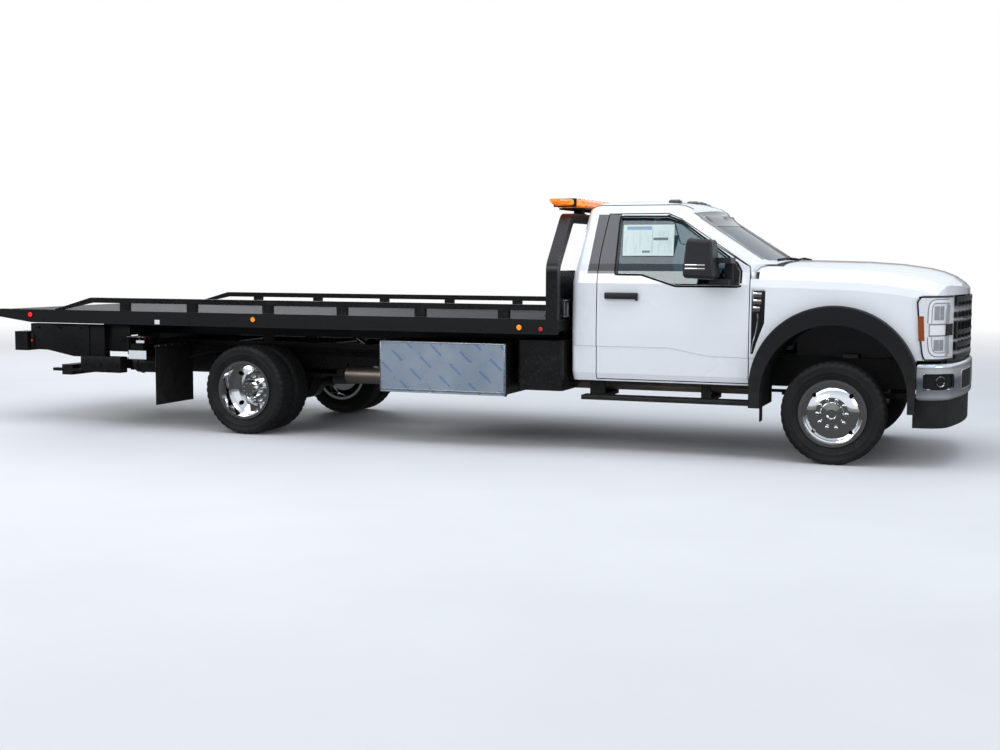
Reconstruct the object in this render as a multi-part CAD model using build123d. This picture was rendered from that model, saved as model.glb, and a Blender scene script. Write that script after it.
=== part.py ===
from build123d import *
import math
import os

# Flatbed tow truck with a regular cab, dual rear wheels and a tilting, sliding steel bed.
# Millimetres. X points forward, Y to the truck's left and Z up from the ground.
# Every place below is measured from the front axle along X, from the middle plane
# along Y and from the ground along Z. write_node moves X so that the origin is
# halfway along the truck. Pieces are drawn for the right-hand side and mirrored.

# Overall sizes
wheelbase = 5215
front_overhang = 975
tail_reach = 8100
cab_back = 2156
cab_half_width = 1016
mirror_reach = cab_half_width + 319

# How far a cutting block runs past the face that it opens, and the play of a running fit
over = 1
running_gap = 0.3

# Tyres: the wall's points as distances in from the tread and from the widest place
tyre_radius = 403
tyre_width = 226
bead_rise = 16
bead_tuck = 22
bulge_depth = 62
shoulder_drop = 14
shoulder_tuck = 12
tread_tuck = 34

# Disc wheels
rim_radius = 248
rim_lip_radius = 264
rim_lip_width = 14
rim_lip_slope = 4
rim_width = 178
rim_thickness = 9
disc_thickness = 12
disc_weld_ring = 24
bolt_ring_margin = 28
hand_hole_radius = 21
hand_holes = 4
stud_circle_radius = 112.5
stud_count = 10
stud_radius = 11
stud_length = 28
wheel_face_offset = 116
front_disc_y = -30
front_disc_dome = 6
rear_disc_y = 122
rear_disc_dome = -52

# Polished front wheel cover: places along Y, outside is minus
cover_wall = 6
cover_edge_y = -98
cover_lip_y = -76
cover_seat_y = -72
cover_dome_y = -106
cover_hole_radius = 17
cover_nut_radius = stud_radius + 4
cover_nut_length = 40

# Hubs, brakes and axles
front_track_half = 950
rear_track_half = 940
dual_offset = 136
hub_radius = 62
spindle_radius = 36
rotor_radius = 190
rotor_inner_y = 62
rotor_outer_y = 40
drum_brake_radius = 170
drum_brake_inner_y = 190
drum_brake_outer_y = 60
axle_tube_radius = 58
kingpin_y = 830
kingpin_radius = 26
fork_height = 105
fork_plate = 20
steering_arm_length = 170
steering_arm_drop = 60
steering_arm_height = 25
# Differential housing as (radius, y) points
housing_profile = ((0, -150), (120, -130), (175, -60), (175, 60), (120, 130), (0, 150))
pinion_length = 290
pinion_radius = 60

# Ladder frame
rail_outer_y = 470
rail_top = 800
rail_height = 240
rail_flange = 80
rail_wall = 9
rail_front = 760
rail_rear = 6850
cross_member_height = 130
cross_member_length = 90
body_mounts_x = (-2020, -760)
body_mount_radius = 32
rest_pads_x = (-2750, -4050, -5400)
rest_pad_length = 120
hinge_ear_length = 140
hinge_ear_width = 24
hinge_ear_drop = 160
hinge_ear_rise = 60
spring_half_length = 700
spring_width = 76
spring_leaf = 20
spring_hanger = 70

# Engine, gearbox, shaft, radiator and tanks
engine_rear = -400
engine_front = 480
engine_half = 300
engine_top = 1260
gearbox_rear = -1450
gearbox_half = 170
shaft_radius = 48
radiator_front = 650
radiator_depth = 50
radiator_half = 560
radiator_top = 1240
fuel_tank_rear = -6400
fuel_tank_front = -5860
fuel_tank_half = 360
fuel_tank_bottom = 470
fuel_tank_top = 720
fuel_tank_corner = 60
exhaust_y = -560
exhaust_z = 520
muffler_radius = 75
muffler_rear = -4470
muffler_front = -3880
pipe_radius = 38
pipe_front = -700
side_tank_rear = -2600
side_tank_front = -2200
side_tank_inner_y = 640
side_tank_outer_y = 1100
side_tank_bottom = 500
side_tank_top = 920
side_tank_corner = 40

# Cab body
panel_wall = 62
roof_wall = 45
floor_top = 880
floor_thickness = 45
sill_bottom = 592
sill_tuck = 40
crease_height = 912
crease_drop = 70
crease_taper = 42
ledge_depth = 11
rocker_height = 668
shoulder_height = 1400
belt_height = 1500
scuttle_height = 1560
crown_height = 2084
roof_rise = 109
roof_steps = 5
header_height = crown_height - roof_rise
# The roof's crown, as distances in from the outline at the header
crown_rear = 190
crown_front = 360
crown_side = 300
roof_lamp_length = 100
roof_lamp_width = 56
roof_lamp_height = 22
# Columns: x and y of each roof lamp
roof_lamps_at = ((-1325, 0), (-1335, -150), (-1335, 150), (-1390, -560), (-1390, 560))

# Doors, windows and mirrors
shut_gap = 8
door_rear = 1930
door_front = 673
door_bottom = 612
door_hinge_x = -688
door_top = header_height - 5
window_rear = 1776
window_corner_x = -1395
mirror_sail_x = -872
glass_thickness = 6
handle_rear = -1856
handle_front = -1584
handle_z = 1296
handle_height = 36
handle_reach = 26
mirror_depth = 250
mirror_round = 30
# The mirror's head in side view
mirror_outline = ((-1142, 1452), (-1108, 1764), (-915, 1752), (-885, 1438))
# Columns: rear x, front x, bottom and top of each mirror arm
mirror_arms = ((-960, -806, 1398, 1442), (-920, -786, 1566, 1612))
mirror_post_rear = -866
mirror_post_front = -790

# Seats and dashboard
seat_y = 430
seat_half = 260
seat_rear = -1790
seat_front = -1310
seat_lean = -14
cushion_thickness = 150
back_thickness = 130
rest_height = 170
rest_width = 260
rest_thickness = 90
console_half = 150
column_z = 1330
column_tilt = -65
column_length = 280
steering_wheel_radius = 185
steering_rim_radius = 16

# Nose
nose_front = 945
nose_corner_x = 760
nose_corner_round = 200
fender_wall = 28
arch_inner_radius = 561
arch_inner_height = 534
arch_outer_radius = 652
arch_outer_height = 592
flare_reach = cab_half_width + 84
flare_foot = 425
flare_round = 16
hood_half_width = cab_half_width - 181
hood_rear = -432
lamp_rear = 600
lamp_lean = 41
lamp_foot = 82
lamp_foot_lean = 64
lamp_round = 50
lamp_depth = 120
lamp_bottom = 833
lamp_top = 1324
lamp_gap = 4
# The recess behind the front wheel's arch, in side view
vent_outline = ((-653, 1368), (-543, 1364), (-548, 1096), (-606, 940), (-634, 846), (-653, 846))
vent_depth = 18
vent_round = 12

# Grille, bumper and air dam
grille_half_width = 700
grille_corner_x = 790
grille_depth = 55
grille_border = 50
grille_bars_z = (935, 1035, 1135, 1225)
grille_bar_half = 16
grille_slat_pitch = 140
grille_slat_half = 6
grille_stay_y = 300
bumper_bottom = 525
bumper_top = 808
bumper_end = 618
bumper_corner_x = 830
bumper_half_width = cab_half_width - 13
bumper_corner_round = 220
bumper_inner_round = 200
bumper_wall = 22
bumper_round = 30
fog_rear = 668
fog_front = 884
fog_inner_y = 760
fog_low = 85
fog_high = 75
fog_round = 25
dam_bottom = 312

# Running boards and mud flaps
board_rear = -2063
board_front = -664
board_inner_y = cab_half_width - 166
board_outer_y = cab_half_width - 11
board_bottom = 430
board_top = 468
board_round = 10
# Columns: rear x and front x of each running board bracket
board_brackets = ((-2030, -1900), (-1080, -1000))
flap_x = -6142
flap_bottom = 230
flap_top = 790
flap_inner_y = 600
flap_outer_y = 1200
flap_thickness = 8

# Bed
bed_half_width = 1219
bed_front = 2206
deck_top = 1085
deck_thickness = 8
member_height = 77
member_width = 48
member_pitch = 410
bed_bottom = 975
tail_taper = 556
tail_tip_height = 40
side_channel = 28
rail_tube = 48
rail_inset = 12
bed_rail_top = 1220
rail_slope_start = 6858
rail_slope_end = 7267
post_width = 95
rail_posts_x = (-6478, -5742, -4947, -4200, -3450, -2685)
runner_half_gap = 340
runner_width = 76
runner_inset = 8
slide_clearance = 0.3
lip_width = 68
lip_height = 14
lip_slope = 180
front_plate_end = 2660
front_plate_thickness = 6

# Tilt frame, pivots and cylinders
tilt_pivot_x = -6750
tilt_pivot_z = 830
tilt_beam_bottom = 855
tilt_beam_width = 92
tilt_front = 2480
tilt_rear = 7300
tilt_members_x = (-2600, -3300, -4300, -5600, -6400, -7030, -7270)
tilt_member_half = 30
tilt_member_height = 10
pivot_pin_radius = 18
pivot_boss_radius = 24
base_pin_radius = 26
slide_rod_radius = 28
slide_barrel_radius = 46
slide_axis_z = 912
tilt_base_x = -3900
tilt_base_z = 430
tilt_eye_x = -4600
tilt_eye_z = 890
tilt_cylinder_y = 255
tilt_barrel_radius = 52
tilt_rod_radius = 25
tilt_barrel_length = 640
tilt_rod_start = 110
base_eye_radius = 48
rod_eye_radius = 35
eye_half = 26
slide_barrel_rear = -5870
slide_eye_x = -5930
slide_saddles_x = (-2600, -5600)

# Tail arms, the lamp bar that they carry and the lamp boxes
tail_arm_rear = -7790
tail_arm_bottom = 800
lamp_bar_half = 1060
lamp_bar_rear = -7830
lamp_bar_bottom = 750
lamp_box_y = 990
lamp_box_half = 80
lamp_box_rear = -7870
lamp_box_front = -7720
lamp_box_bottom = 690
lamp_box_top = 875
tail_lamps_y = (-1020, -950, 950, 1020)
tail_lamp_radius = 28
tail_lamp_z = 782
# Columns: x and z of each round marker lamp on the bed's side
marker_lamps_at = ((-7548, 1048), (-5082, 1048), (-2536, 1030))
marker_radius = 22
marker_depth = 9

# Headboard, light bar and winch
headboard_x = -2256
headboard_post = 100
headboard_tube = 76
headboard_top = crown_height - 104
headboard_bend = headboard_top - 433
headboard_top_half = 800
headboard_corner = 140
headboard_panel_top = headboard_top - 480
headboard_struts_y = (-400, 400)
beacon_bottom = headboard_top + 42
beacon_top = headboard_top + 126
beacon_half = 790
beacon_taper = 150
beacon_depth = 130
beacon_tip_depth = 64
beacon_edge = 30
beacon_feet_y = (-500, 500)
winch_x = -2500
winch_z = 1215
drum_radius = 58
drum_half_length = 180
drum_flange_radius = 100
drum_flange = 8
drum_shaft_radius = 20
winch_motor_radius = 62
winch_plate = 12

# Wheel lift
lift_pivot_x = -7050
lift_pivot_z = 700
lift_box = 120
lift_wall = 10
lift_axis_z = 500
lift_front = -6600
lift_rear = -7260
stinger_end = -7450
crossbar_half = 900
crossbar_width = 120
fork_arm_half = 30
lift_ear_y = 75
lift_ear_plate = 12

# Toolboxes and the control station
toolbox_front = 2670
toolbox_rear = 3840
toolbox_bottom = 458
toolbox_top = 890
toolbox_inner_y = 690
toolbox_outer_y = 1190
toolbox_wall = 6
toolbox_door = 22
toolbox_gap = 0.3
toolbox_lid_gap = 4
toolbox_hinge_radius = 6
toolbox_ear = 9
shelf_rear = -6480
shelf_front = -6320
shelf_outer_y = 1140
shelf_bottom = 690
shelf_thickness = 12
valve_top = 790
station_cover_z = 850
lever_x = -6380
lever_top = 830
lever_pitch = 40
lever_knob_radius = 10

origin_shift = (tail_reach - front_overhang) / 2
rear_axle_x = -wheelbase
frame_bottom = rail_top - rail_height
tilt_beam_top = bed_bottom - 10
spring_low = tyre_radius + axle_tube_radius + 2 * spring_leaf
bore_radius = spindle_radius + running_gap
sides = (("left", 1), ("right", -1))


def write_node(name, shape):
    """Store one piece, moved so that the origin is halfway along the truck."""
    solids = [solid.moved(Location((origin_shift, 0, 0))) for solid in shape.solids()]
    export_step(Compound(solids), "parts/" + name + ".step")


def block(x, y, z):
    """A box between two planes on each axis."""
    centre = ((x[0] + x[1]) / 2, (y[0] + y[1]) / 2, (z[0] + z[1]) / 2)
    return Pos(*centre) * Box(abs(x[1] - x[0]), abs(y[1] - y[0]), abs(z[1] - z[0]))


def around(centre, half):
    """The two planes at half a width on each side of a place."""
    return (centre - half, centre + half)


def side_face(points):
    """A flat face from points of the side view."""
    return make_face(Polyline(*points, close=True))


def side_slab(face, low, high):
    """A side view face pushed across the truck from y low to y high."""
    return extrude(Plane.XZ.offset(-high) * face, amount=high - low)


def front_slab(face, low, high):
    """A front view face pushed along the truck from x low to x high."""
    return extrude(Plane.YZ.offset(low) * face, amount=high - low)


def plan_slab(face, low, high):
    """A plan view face pushed up from z low to z high."""
    return extrude(Plane.XY.offset(low) * face, amount=high - low)


def cross_rod(x, z, radius, low, high):
    """A round bar across the truck."""
    return Pos(x, (low + high) / 2, z) * Rot(90, 0, 0) * Cylinder(radius, high - low)


def long_rod(y, z, radius, low, high):
    """A round bar along the truck."""
    return Pos((low + high) / 2, y, z) * Rot(0, 90, 0) * Cylinder(radius, high - low)


def upright_rod(x, y, radius, low, high):
    """An upright round bar."""
    return Pos(x, y, (low + high) / 2) * Cylinder(radius, high - low)


def mirrored(shape):
    """The same piece on the truck's other side."""
    return mirror(shape, about=Plane.XZ)


def both(shape):
    """A right-hand piece with its left-hand twin, as two solids."""
    return group(shape, mirrored(shape))


def group(*shapes):
    """Solids that share a node without touching."""
    solids = []
    for shape in shapes:
        solids.extend(shape.solids())
    return Compound(solids)


def on_side(shape, sign):
    """A right-hand piece, moved to the side that the sign names."""
    return mirrored(shape) if sign > 0 else shape


def ring_about_y(profile):
    """A wheel part turned about the Y axis from (radius, y) points."""
    return revolve(make_face(Polyline(*profile, close=True)), Axis.Y)


# Wheels

def tyre():
    """A tyre about the Y axis with rounded shoulders and a bulged wall."""
    half = tyre_width / 2
    wall = [(rim_radius, rim_width / 2), (rim_lip_radius + bead_rise, half - bead_tuck),
            (tyre_radius - bulge_depth, half), (tyre_radius - shoulder_drop, half - shoulder_tuck),
            (tyre_radius, half - tread_tuck)]
    other_wall = [(radius, -y) for radius, y in reversed(wall)]
    return ring_about_y(wall + other_wall)


def rim(disc_y, dome):
    """A disc wheel about the Y axis. Its disc bolts on at disc_y and outside is minus Y."""
    seat = rim_width / 2
    lip = seat + rim_lip_width
    slope = seat + rim_lip_slope
    inner = rim_radius - rim_thickness
    bed = rim_radius - running_gap
    barrel = ring_about_y([
        (inner, -lip), (rim_lip_radius, -lip), (rim_lip_radius, -slope), (bed, -seat - over),
        (bed, seat + over), (rim_lip_radius, slope), (rim_lip_radius, lip), (inner, lip)])
    edge_y = disc_y + dome
    half = disc_thickness / 2
    bolt_ring = stud_circle_radius + bolt_ring_margin
    weld_ring = inner - disc_weld_ring
    weld = rim_thickness / 4
    disc = ring_about_y([
        (bore_radius, disc_y), (bolt_ring, disc_y), (weld_ring, edge_y - half),
        (inner + weld, edge_y - half / 2), (inner + weld, edge_y + half),
        (weld_ring, edge_y + half), (bolt_ring, disc_y + disc_thickness),
        (bore_radius, disc_y + disc_thickness)])
    for spot in PolarLocations(0, hand_holes, start_angle=45):
        hole = Pos(weld_ring - hand_hole_radius - over, 0, 0) * Cylinder(hand_hole_radius, 2 * tyre_radius)
        disc -= Rot(90, 0, 0) * spot * hole
    stud_y = disc_y + over - stud_length / 2
    studs = []
    for spot in PolarLocations(stud_circle_radius, stud_count):
        studs.append(Pos(0, stud_y, 0) * Rot(90, 0, 0) * spot * Cylinder(stud_radius, stud_length))
    return barrel + disc + studs


def wheel_cover():
    """The polished domed cover of a front wheel, turned about the Y axis."""
    edge = rim_radius - 8
    seat = edge - 20
    ring = stud_circle_radius + 16
    hub_step = ring - 44
    cap = hub_radius - 24
    face = -wheel_face_offset - 8
    back = face + cover_wall
    outline = [
        Line((edge, cover_edge_y), (edge - 9, cover_lip_y)),
        Line((edge - 9, cover_lip_y), (seat, cover_seat_y)),
        ThreePointArc((seat, cover_seat_y), (seat - 44, cover_dome_y), (ring, face)),
        Line((ring, face), (hub_step + 8, face)),
        Line((hub_step + 8, face), (hub_step, face - 10)),
        Line((hub_step, face - 10), (cap, face - 14)),
        Line((cap, face - 14), (cap - 6, face - 2)),
        Line((cap - 6, face - 2), (0, face - 2)),
        Line((0, face - 2), (0, back)),
        Line((0, back), (ring - 3, back)),
        ThreePointArc((ring - 3, back), (seat - 48, cover_dome_y + cover_wall),
                      (seat - 3, cover_seat_y + cover_wall)),
        Line((seat - 3, cover_seat_y + cover_wall), (edge + 2, cover_lip_y + cover_wall)),
        Line((edge + 2, cover_lip_y + cover_wall), (edge, cover_edge_y))]
    cover = revolve(make_face(outline), Axis.Y)
    for spot in PolarLocations(0, hand_holes, start_angle=45):
        cover -= Rot(90, 0, 0) * spot * Pos(seat - 20, 0, 0) * Cylinder(cover_hole_radius, 2 * rim_radius)
    nut = Cylinder(cover_nut_radius, cover_nut_length)
    nut = fillet(nut.edges().group_by(Axis.Z)[-1], cover_nut_radius - 6)
    for spot in PolarLocations(stud_circle_radius, stud_count):
        cover += Pos(0, face + 4, 0) * Rot(90, 0, 0) * spot * nut
    return cover


def front_wheel(side, sign):
    """Write a front tyre, and its wheel with the cover and the brake rotor."""
    centre = Pos(0, -front_track_half, tyre_radius)
    write_node("tyre_front_" + side, on_side(centre * tyre(), sign))
    hub_y = front_disc_y - 8
    rotor = ring_about_y([
        (bore_radius, hub_y), (hub_radius, hub_y), (hub_radius, -20), (hub_radius + 40, -20),
        (hub_radius + 40, rotor_outer_y), (rotor_radius, rotor_outer_y), (rotor_radius, rotor_inner_y),
        (bore_radius, rotor_inner_y)])
    wheel = rim(front_disc_y, front_disc_dome) + wheel_cover() + rotor
    write_node("rim_front_" + side, on_side(centre * wheel, sign))


def rear_wheel(side, sign):
    """Write two rear tyres, and their two wheels with the hub and the brake drum."""
    centre = Pos(rear_axle_x, -rear_track_half, tyre_radius)
    outer = centre * Pos(0, -dual_offset, 0)
    inner = centre * Pos(0, dual_offset, 0)
    write_node("tyre_rear_" + side, on_side(group(outer * tyre(), inner * tyre()), sign))
    dish = rim(rear_disc_y, rear_disc_dome)
    cap_y = -dual_offset - 20
    hub = ring_about_y([
        (0, cap_y), (hub_radius + 8, cap_y), (hub_radius + 24, -dual_offset + 6),
        (hub_radius + 24, drum_brake_outer_y), (drum_brake_radius, drum_brake_outer_y),
        (drum_brake_radius, drum_brake_inner_y), (bore_radius, drum_brake_inner_y),
        (bore_radius, -dual_offset), (0, -dual_offset)])
    wheels = outer * dish + inner * mirrored(dish) + centre * hub
    write_node("rim_rear_" + side, on_side(wheels, sign))


# Chassis

def frame_rail():
    """The right-hand rail, a channel open to the inside."""
    outer = block((-rail_rear, rail_front), (-rail_outer_y, -rail_outer_y + rail_flange),
                  (frame_bottom, rail_top))
    hollow = block((-rail_rear - over, rail_front + over),
                   (-rail_outer_y + rail_wall, -rail_outer_y + rail_flange + over),
                   (frame_bottom + rail_wall, rail_top - rail_wall))
    return outer - hollow


def cylinder_base():
    """The lower pin of the right-hand tilt cylinder, in its two brackets."""
    web_y = rail_outer_y - rail_wall
    inner_y = tilt_cylinder_y - tilt_barrel_radius - 13
    base_low = tilt_base_z - 50
    pin = cross_rod(tilt_base_x, tilt_base_z, base_pin_radius, -web_y, -inner_y)
    pin += block(around(tilt_base_x, 50), (-web_y, -web_y + 16), (base_low, frame_bottom + 40))
    pin += block(around(tilt_base_x, 40), (-inner_y - 8, -inner_y), (base_low, rail_top - rail_wall))
    return pin


def chassis_frame():
    """The ladder frame with its cross members, hinge ears, body mounts and rest pads."""
    web_y = rail_outer_y - rail_wall
    member_top = rail_top - rail_wall
    frame = frame_rail() + mirrored(frame_rail())
    for x in (700, -1750, -3100, tilt_base_x, -4740, -5800):
        frame += block(around(x, cross_member_length / 2), (-web_y, web_y),
                       (member_top - cross_member_height, member_top))
    frame += block(around(tilt_pivot_x + 10, 30), (-web_y, web_y), (rail_top - 100, member_top))
    ear = block(around(tilt_pivot_x, hinge_ear_length / 2), (-rail_outer_y - hinge_ear_width, -rail_outer_y),
                (rail_top - hinge_ear_drop, tilt_pivot_z + hinge_ear_rise))
    ear -= cross_rod(tilt_pivot_x, tilt_pivot_z, pivot_pin_radius + running_gap,
                     -rail_outer_y - hinge_ear_width - over, -rail_outer_y + rail_wall + over)
    extras = [ear, cylinder_base()]
    for x in body_mounts_x:
        extras.append(upright_rod(x, -rail_outer_y + rail_flange / 2, body_mount_radius, rail_top - over,
                                  floor_top - floor_thickness - running_gap))
    for x in rest_pads_x:
        extras.append(block(around(x, rest_pad_length / 2),
                            (-runner_half_gap - tilt_beam_width + 4, -rail_outer_y + rail_flange - 4),
                            (rail_top - over, tilt_beam_bottom - running_gap)))
    for piece in extras:
        frame += piece + mirrored(piece)
    return frame


def leaf_pack(x, y):
    """A leaf spring pack of three steps with its two hangers up to the frame rail."""
    wide = around(y, spring_width / 2)
    leaves = block(around(x, spring_half_length), wide, (spring_low, spring_low + spring_leaf))
    for step, share in ((1, 0.7), (2, 0.4)):
        low = spring_low - step * spring_leaf
        leaves += block(around(x, spring_half_length * share), wide, (low, low + spring_leaf))
    for end in (-1, 1):
        hanger_x = x + end * (spring_half_length - 40)
        leaves += block(around(hanger_x, spring_hanger / 2), wide, (spring_low + spring_leaf, frame_bottom))
    return leaves


def front_axle():
    """The front axle beam with its leaf packs and the forks that hold the knuckles."""
    beam = cross_rod(0, tyre_radius, axle_tube_radius, -kingpin_y + 95, kingpin_y - 95)
    pack = leaf_pack(0, -rail_outer_y + spring_width / 2)
    fork = block((-50, 50), (-kingpin_y + 60, -kingpin_y + 120), around(tyre_radius, fork_height))
    for low in (tyre_radius - fork_height, tyre_radius + fork_height - fork_plate):
        fork += block((-45, 45), (-kingpin_y - 30, -kingpin_y + 70), (low, low + fork_plate))
    return beam + pack + mirrored(pack) + fork + mirrored(fork)


def knuckle():
    """The right-hand steering knuckle with its kingpin, steering arm and wheel spindle."""
    reach = fork_height - fork_plate - running_gap
    post = upright_rod(0, -kingpin_y, kingpin_radius, tyre_radius - reach, tyre_radius + reach)
    spindle = cross_rod(0, tyre_radius, spindle_radius, -front_track_half - 100, -kingpin_y)
    flange = cross_rod(0, tyre_radius, hub_radius + 8, -kingpin_y - 45, -kingpin_y + 10)
    arm_low = tyre_radius - steering_arm_drop
    arm = block((-steering_arm_length, 0), (-kingpin_y - 30, -kingpin_y + 2),
                (arm_low, arm_low + steering_arm_height))
    return post + spindle + flange + arm


def rear_axle():
    """The rear axle with its differential, spindles and leaf packs beside the rails."""
    tube_end = rear_track_half - 290
    spindle_end = rear_track_half + 110
    axle = cross_rod(rear_axle_x, tyre_radius, axle_tube_radius, -tube_end, tube_end)
    axle += cross_rod(rear_axle_x, tyre_radius, spindle_radius, -spindle_end, spindle_end)
    axle += Pos(rear_axle_x, 0, tyre_radius) * ring_about_y(housing_profile)
    axle += long_rod(0, tyre_radius + 10, pinion_radius, rear_axle_x, rear_axle_x + pinion_length)
    spring_y = -rail_outer_y - spring_width / 2 - 20
    pack = leaf_pack(rear_axle_x, spring_y)
    for end in (-1, 1):
        hanger = around(rear_axle_x + end * (spring_half_length - 40), spring_hanger / 2)
        pack += block(hanger, (-rail_outer_y - 20, -rail_outer_y), around(frame_bottom + 15, 45))
        pack += block(hanger, (spring_y - spring_width / 2, -rail_outer_y - 20),
                      (frame_bottom - 30, frame_bottom))
    return axle + pack + mirrored(pack)


def powertrain():
    """Engine and gearbox as plain blocks with the propeller shaft, and the radiator."""
    engine = block((engine_rear, engine_front), (-engine_half, engine_half), (frame_bottom + 40, engine_top))
    engine += block((0, 120), (-rail_outer_y, rail_outer_y), (rail_top, rail_top + 30))
    gearbox = block((gearbox_rear, engine_rear), (-gearbox_half, gearbox_half),
                    (frame_bottom - 30, rail_top - 20))
    start = Vector(gearbox_rear, 0, frame_bottom + 40)
    finish = Vector(rear_axle_x + pinion_length + 10, 0, tyre_radius + 14)
    length = (finish - start).length
    line = Plane(origin=start, x_dir=(0, 1, 0), z_dir=finish - start)
    shaft = line * Pos(0, 0, length / 2) * Cylinder(shaft_radius, length)
    depth = (radiator_front - radiator_depth, radiator_front)
    radiator = block(depth, (-radiator_half, radiator_half), (rail_top, radiator_top))
    radiator += block(depth, (-fuel_tank_half, fuel_tank_half), (frame_bottom + 60, rail_top + 10))
    return group(engine + gearbox + shaft, radiator)


def fuel_tank():
    """The tank between the rails behind the rear axle, with its strap."""
    tank = block((fuel_tank_rear, fuel_tank_front), (-fuel_tank_half, fuel_tank_half),
                 (fuel_tank_bottom, fuel_tank_top))
    tank = fillet(tank.edges().filter_by(Axis.X), fuel_tank_corner)
    web_y = rail_outer_y - rail_wall
    return tank + block((-6200, -6150), (-web_y, web_y), (fuel_tank_top, fuel_tank_top + 15))


def exhaust():
    """The exhaust pipe with its muffler and two hangers."""
    muffler = long_rod(exhaust_y, exhaust_z, muffler_radius, muffler_rear, muffler_front)
    pipe = long_rod(exhaust_y, exhaust_z, pipe_radius, muffler_front - 10, pipe_front)
    pieces = muffler + pipe
    for x, radius in ((-4175, muffler_radius), (-1475, pipe_radius)):
        low = exhaust_z + radius - 15
        pieces += block(around(x, 25), (exhaust_y - 20, -rail_outer_y), (low, low + 30))
    return pieces


# Cab

def cab_section(z, rear, side_front, middle_front, half_width, corner):
    """A plan outline of the cab at height z, with a bowed front."""
    outline = [
        Line((side_front, -half_width), (rear, -half_width)),
        Line((rear, -half_width), (rear, half_width)),
        Line((rear, half_width), (side_front, half_width)),
        ThreePointArc((side_front, half_width), (middle_front, 0), (side_front, -half_width))]
    face = make_face(outline)
    face = fillet(face.vertices(), corner)
    return Plane.XY.offset(z) * face


# Columns: height, rear x, front x at the side, front x in the middle, half width, corner radius
cab_outline = (
    (sill_bottom, -cab_back + 4, -640, -560, cab_half_width - sill_tuck, 60),
    (rocker_height, -cab_back, -640, -560, cab_half_width - 6, 60),
    (1000, -cab_back, -640, -560, cab_half_width, 60),
    (shoulder_height, -cab_back, -640, -560, cab_half_width - 10, 60),
    (belt_height, -cab_back + 6, -640, -540, cab_half_width - 38, 60),
    (scuttle_height, -cab_back + 12, -606, -450, cab_half_width - 68, 60),
    (header_height, -cab_back + 53, -1215, -1090, cab_half_width - 281, 70))


def cab_volume(inset, top_inset, drop):
    """The cab's closed outer form, or the same form set in by a wall."""
    faces = []
    for z, rear, side_front, middle_front, half_width, corner in cab_outline:
        height = z - drop if z == sill_bottom else z
        faces.append(cab_section(height, rear + inset, side_front - inset, middle_front - inset,
                                 half_width - inset, corner))
    z, rear, side_front, middle_front, half_width, corner = cab_outline[-1]
    for step in range(1, roof_steps + 1):
        angle = math.radians(90 * step / roof_steps)
        rise = (roof_rise - top_inset) * math.sin(angle)
        reach = 1 - math.cos(angle)
        faces.append(cab_section(
            z + rise, rear + inset + crown_rear * reach, side_front - inset - crown_front * reach,
            middle_front - inset - crown_front * reach, half_width - inset - crown_side * reach, corner))
    return loft(faces, ruled=True)


def crease_tool():
    """The band under the body's crease line, to be cut from both sides of the body."""
    crease_low = crease_height - crease_drop
    band_low = sill_bottom - 40
    face = side_face([
        (-cab_back - 50, crease_height), (-1300, crease_height), (-1000, crease_low + 12),
        (-400, crease_low), (-400, band_low), (-cab_back - 50, band_low)])
    clear = 30
    start = Plane.XZ.offset(cab_half_width + clear)
    band = extrude(start * face, amount=-clear - ledge_depth, taper=crease_taper)
    return band + mirrored(band)


def door_outline(grow):
    """The door in side view, larger all round by grow."""
    face = side_face([
        (-door_rear, door_bottom), (-door_rear, door_top), (-1400, door_top),
        (-1290, door_top - 45), (-door_front - 8, belt_height + 40),
        (-door_front, belt_height - 10), (-door_front, door_bottom)])
    return offset(face, grow, kind=Kind.INTERSECTION) if grow else face


def window_outline():
    """The side window's opening in the door, with the step down towards the mirror."""
    top = door_top - 26
    sill = belt_height - 20
    front_sill = shoulder_height - 10
    return side_face([
        (-window_rear, sill), (-window_rear - 24, top), (window_corner_x, top - 4),
        (window_corner_x + 105, top - 40), (-790, scuttle_height), (-752, belt_height),
        (-752, front_sill), (-1270, front_sill), (-1560, sill)])


def windscreen_outline():
    """The windscreen's opening in front view."""
    low = scuttle_height + 30
    high = header_height - 28
    face = make_face(Polyline((-745, low), (-628, high), (628, high), (745, low), close=True))
    return fillet(face.vertices(), 45)


def back_window_outline():
    """The rear window's opening in front view."""
    low = belt_height - 20
    high = header_height - 115
    face = make_face(Polyline((-600, low), (-540, high), (540, high), (600, low), close=True))
    return fillet(face.vertices(), 50)


def cab_cuts():
    """Door panel zone and gap zone of the right-hand door, each ending in an arc about the hinge."""
    reach = cab_half_width + 10
    swing = door_rear + door_hinge_x + 4
    floor_half = cab_half_width - sill_tuck - panel_wall - shut_gap
    door_limit = floor_half + 2 * shut_gap
    wall_low = (-door_front - panel_wall, -400)
    wall_tall = (sill_bottom - 10, scuttle_height - 15)
    hinge_axis = Pos(door_hinge_x, -cab_half_width, 0)
    door_zone = side_slab(door_outline(0), -reach, -500) - block(wall_low, (-door_limit, 0), wall_tall)
    door_zone &= hinge_axis * Cylinder(swing, 5000)
    gap_zone = side_slab(door_outline(shut_gap), -reach, -500)
    gap_zone -= block(wall_low, (-door_limit + shut_gap, 0), wall_tall)
    gap_zone &= hinge_axis * Cylinder(swing + shut_gap, 5000)
    return door_zone, gap_zone


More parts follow.
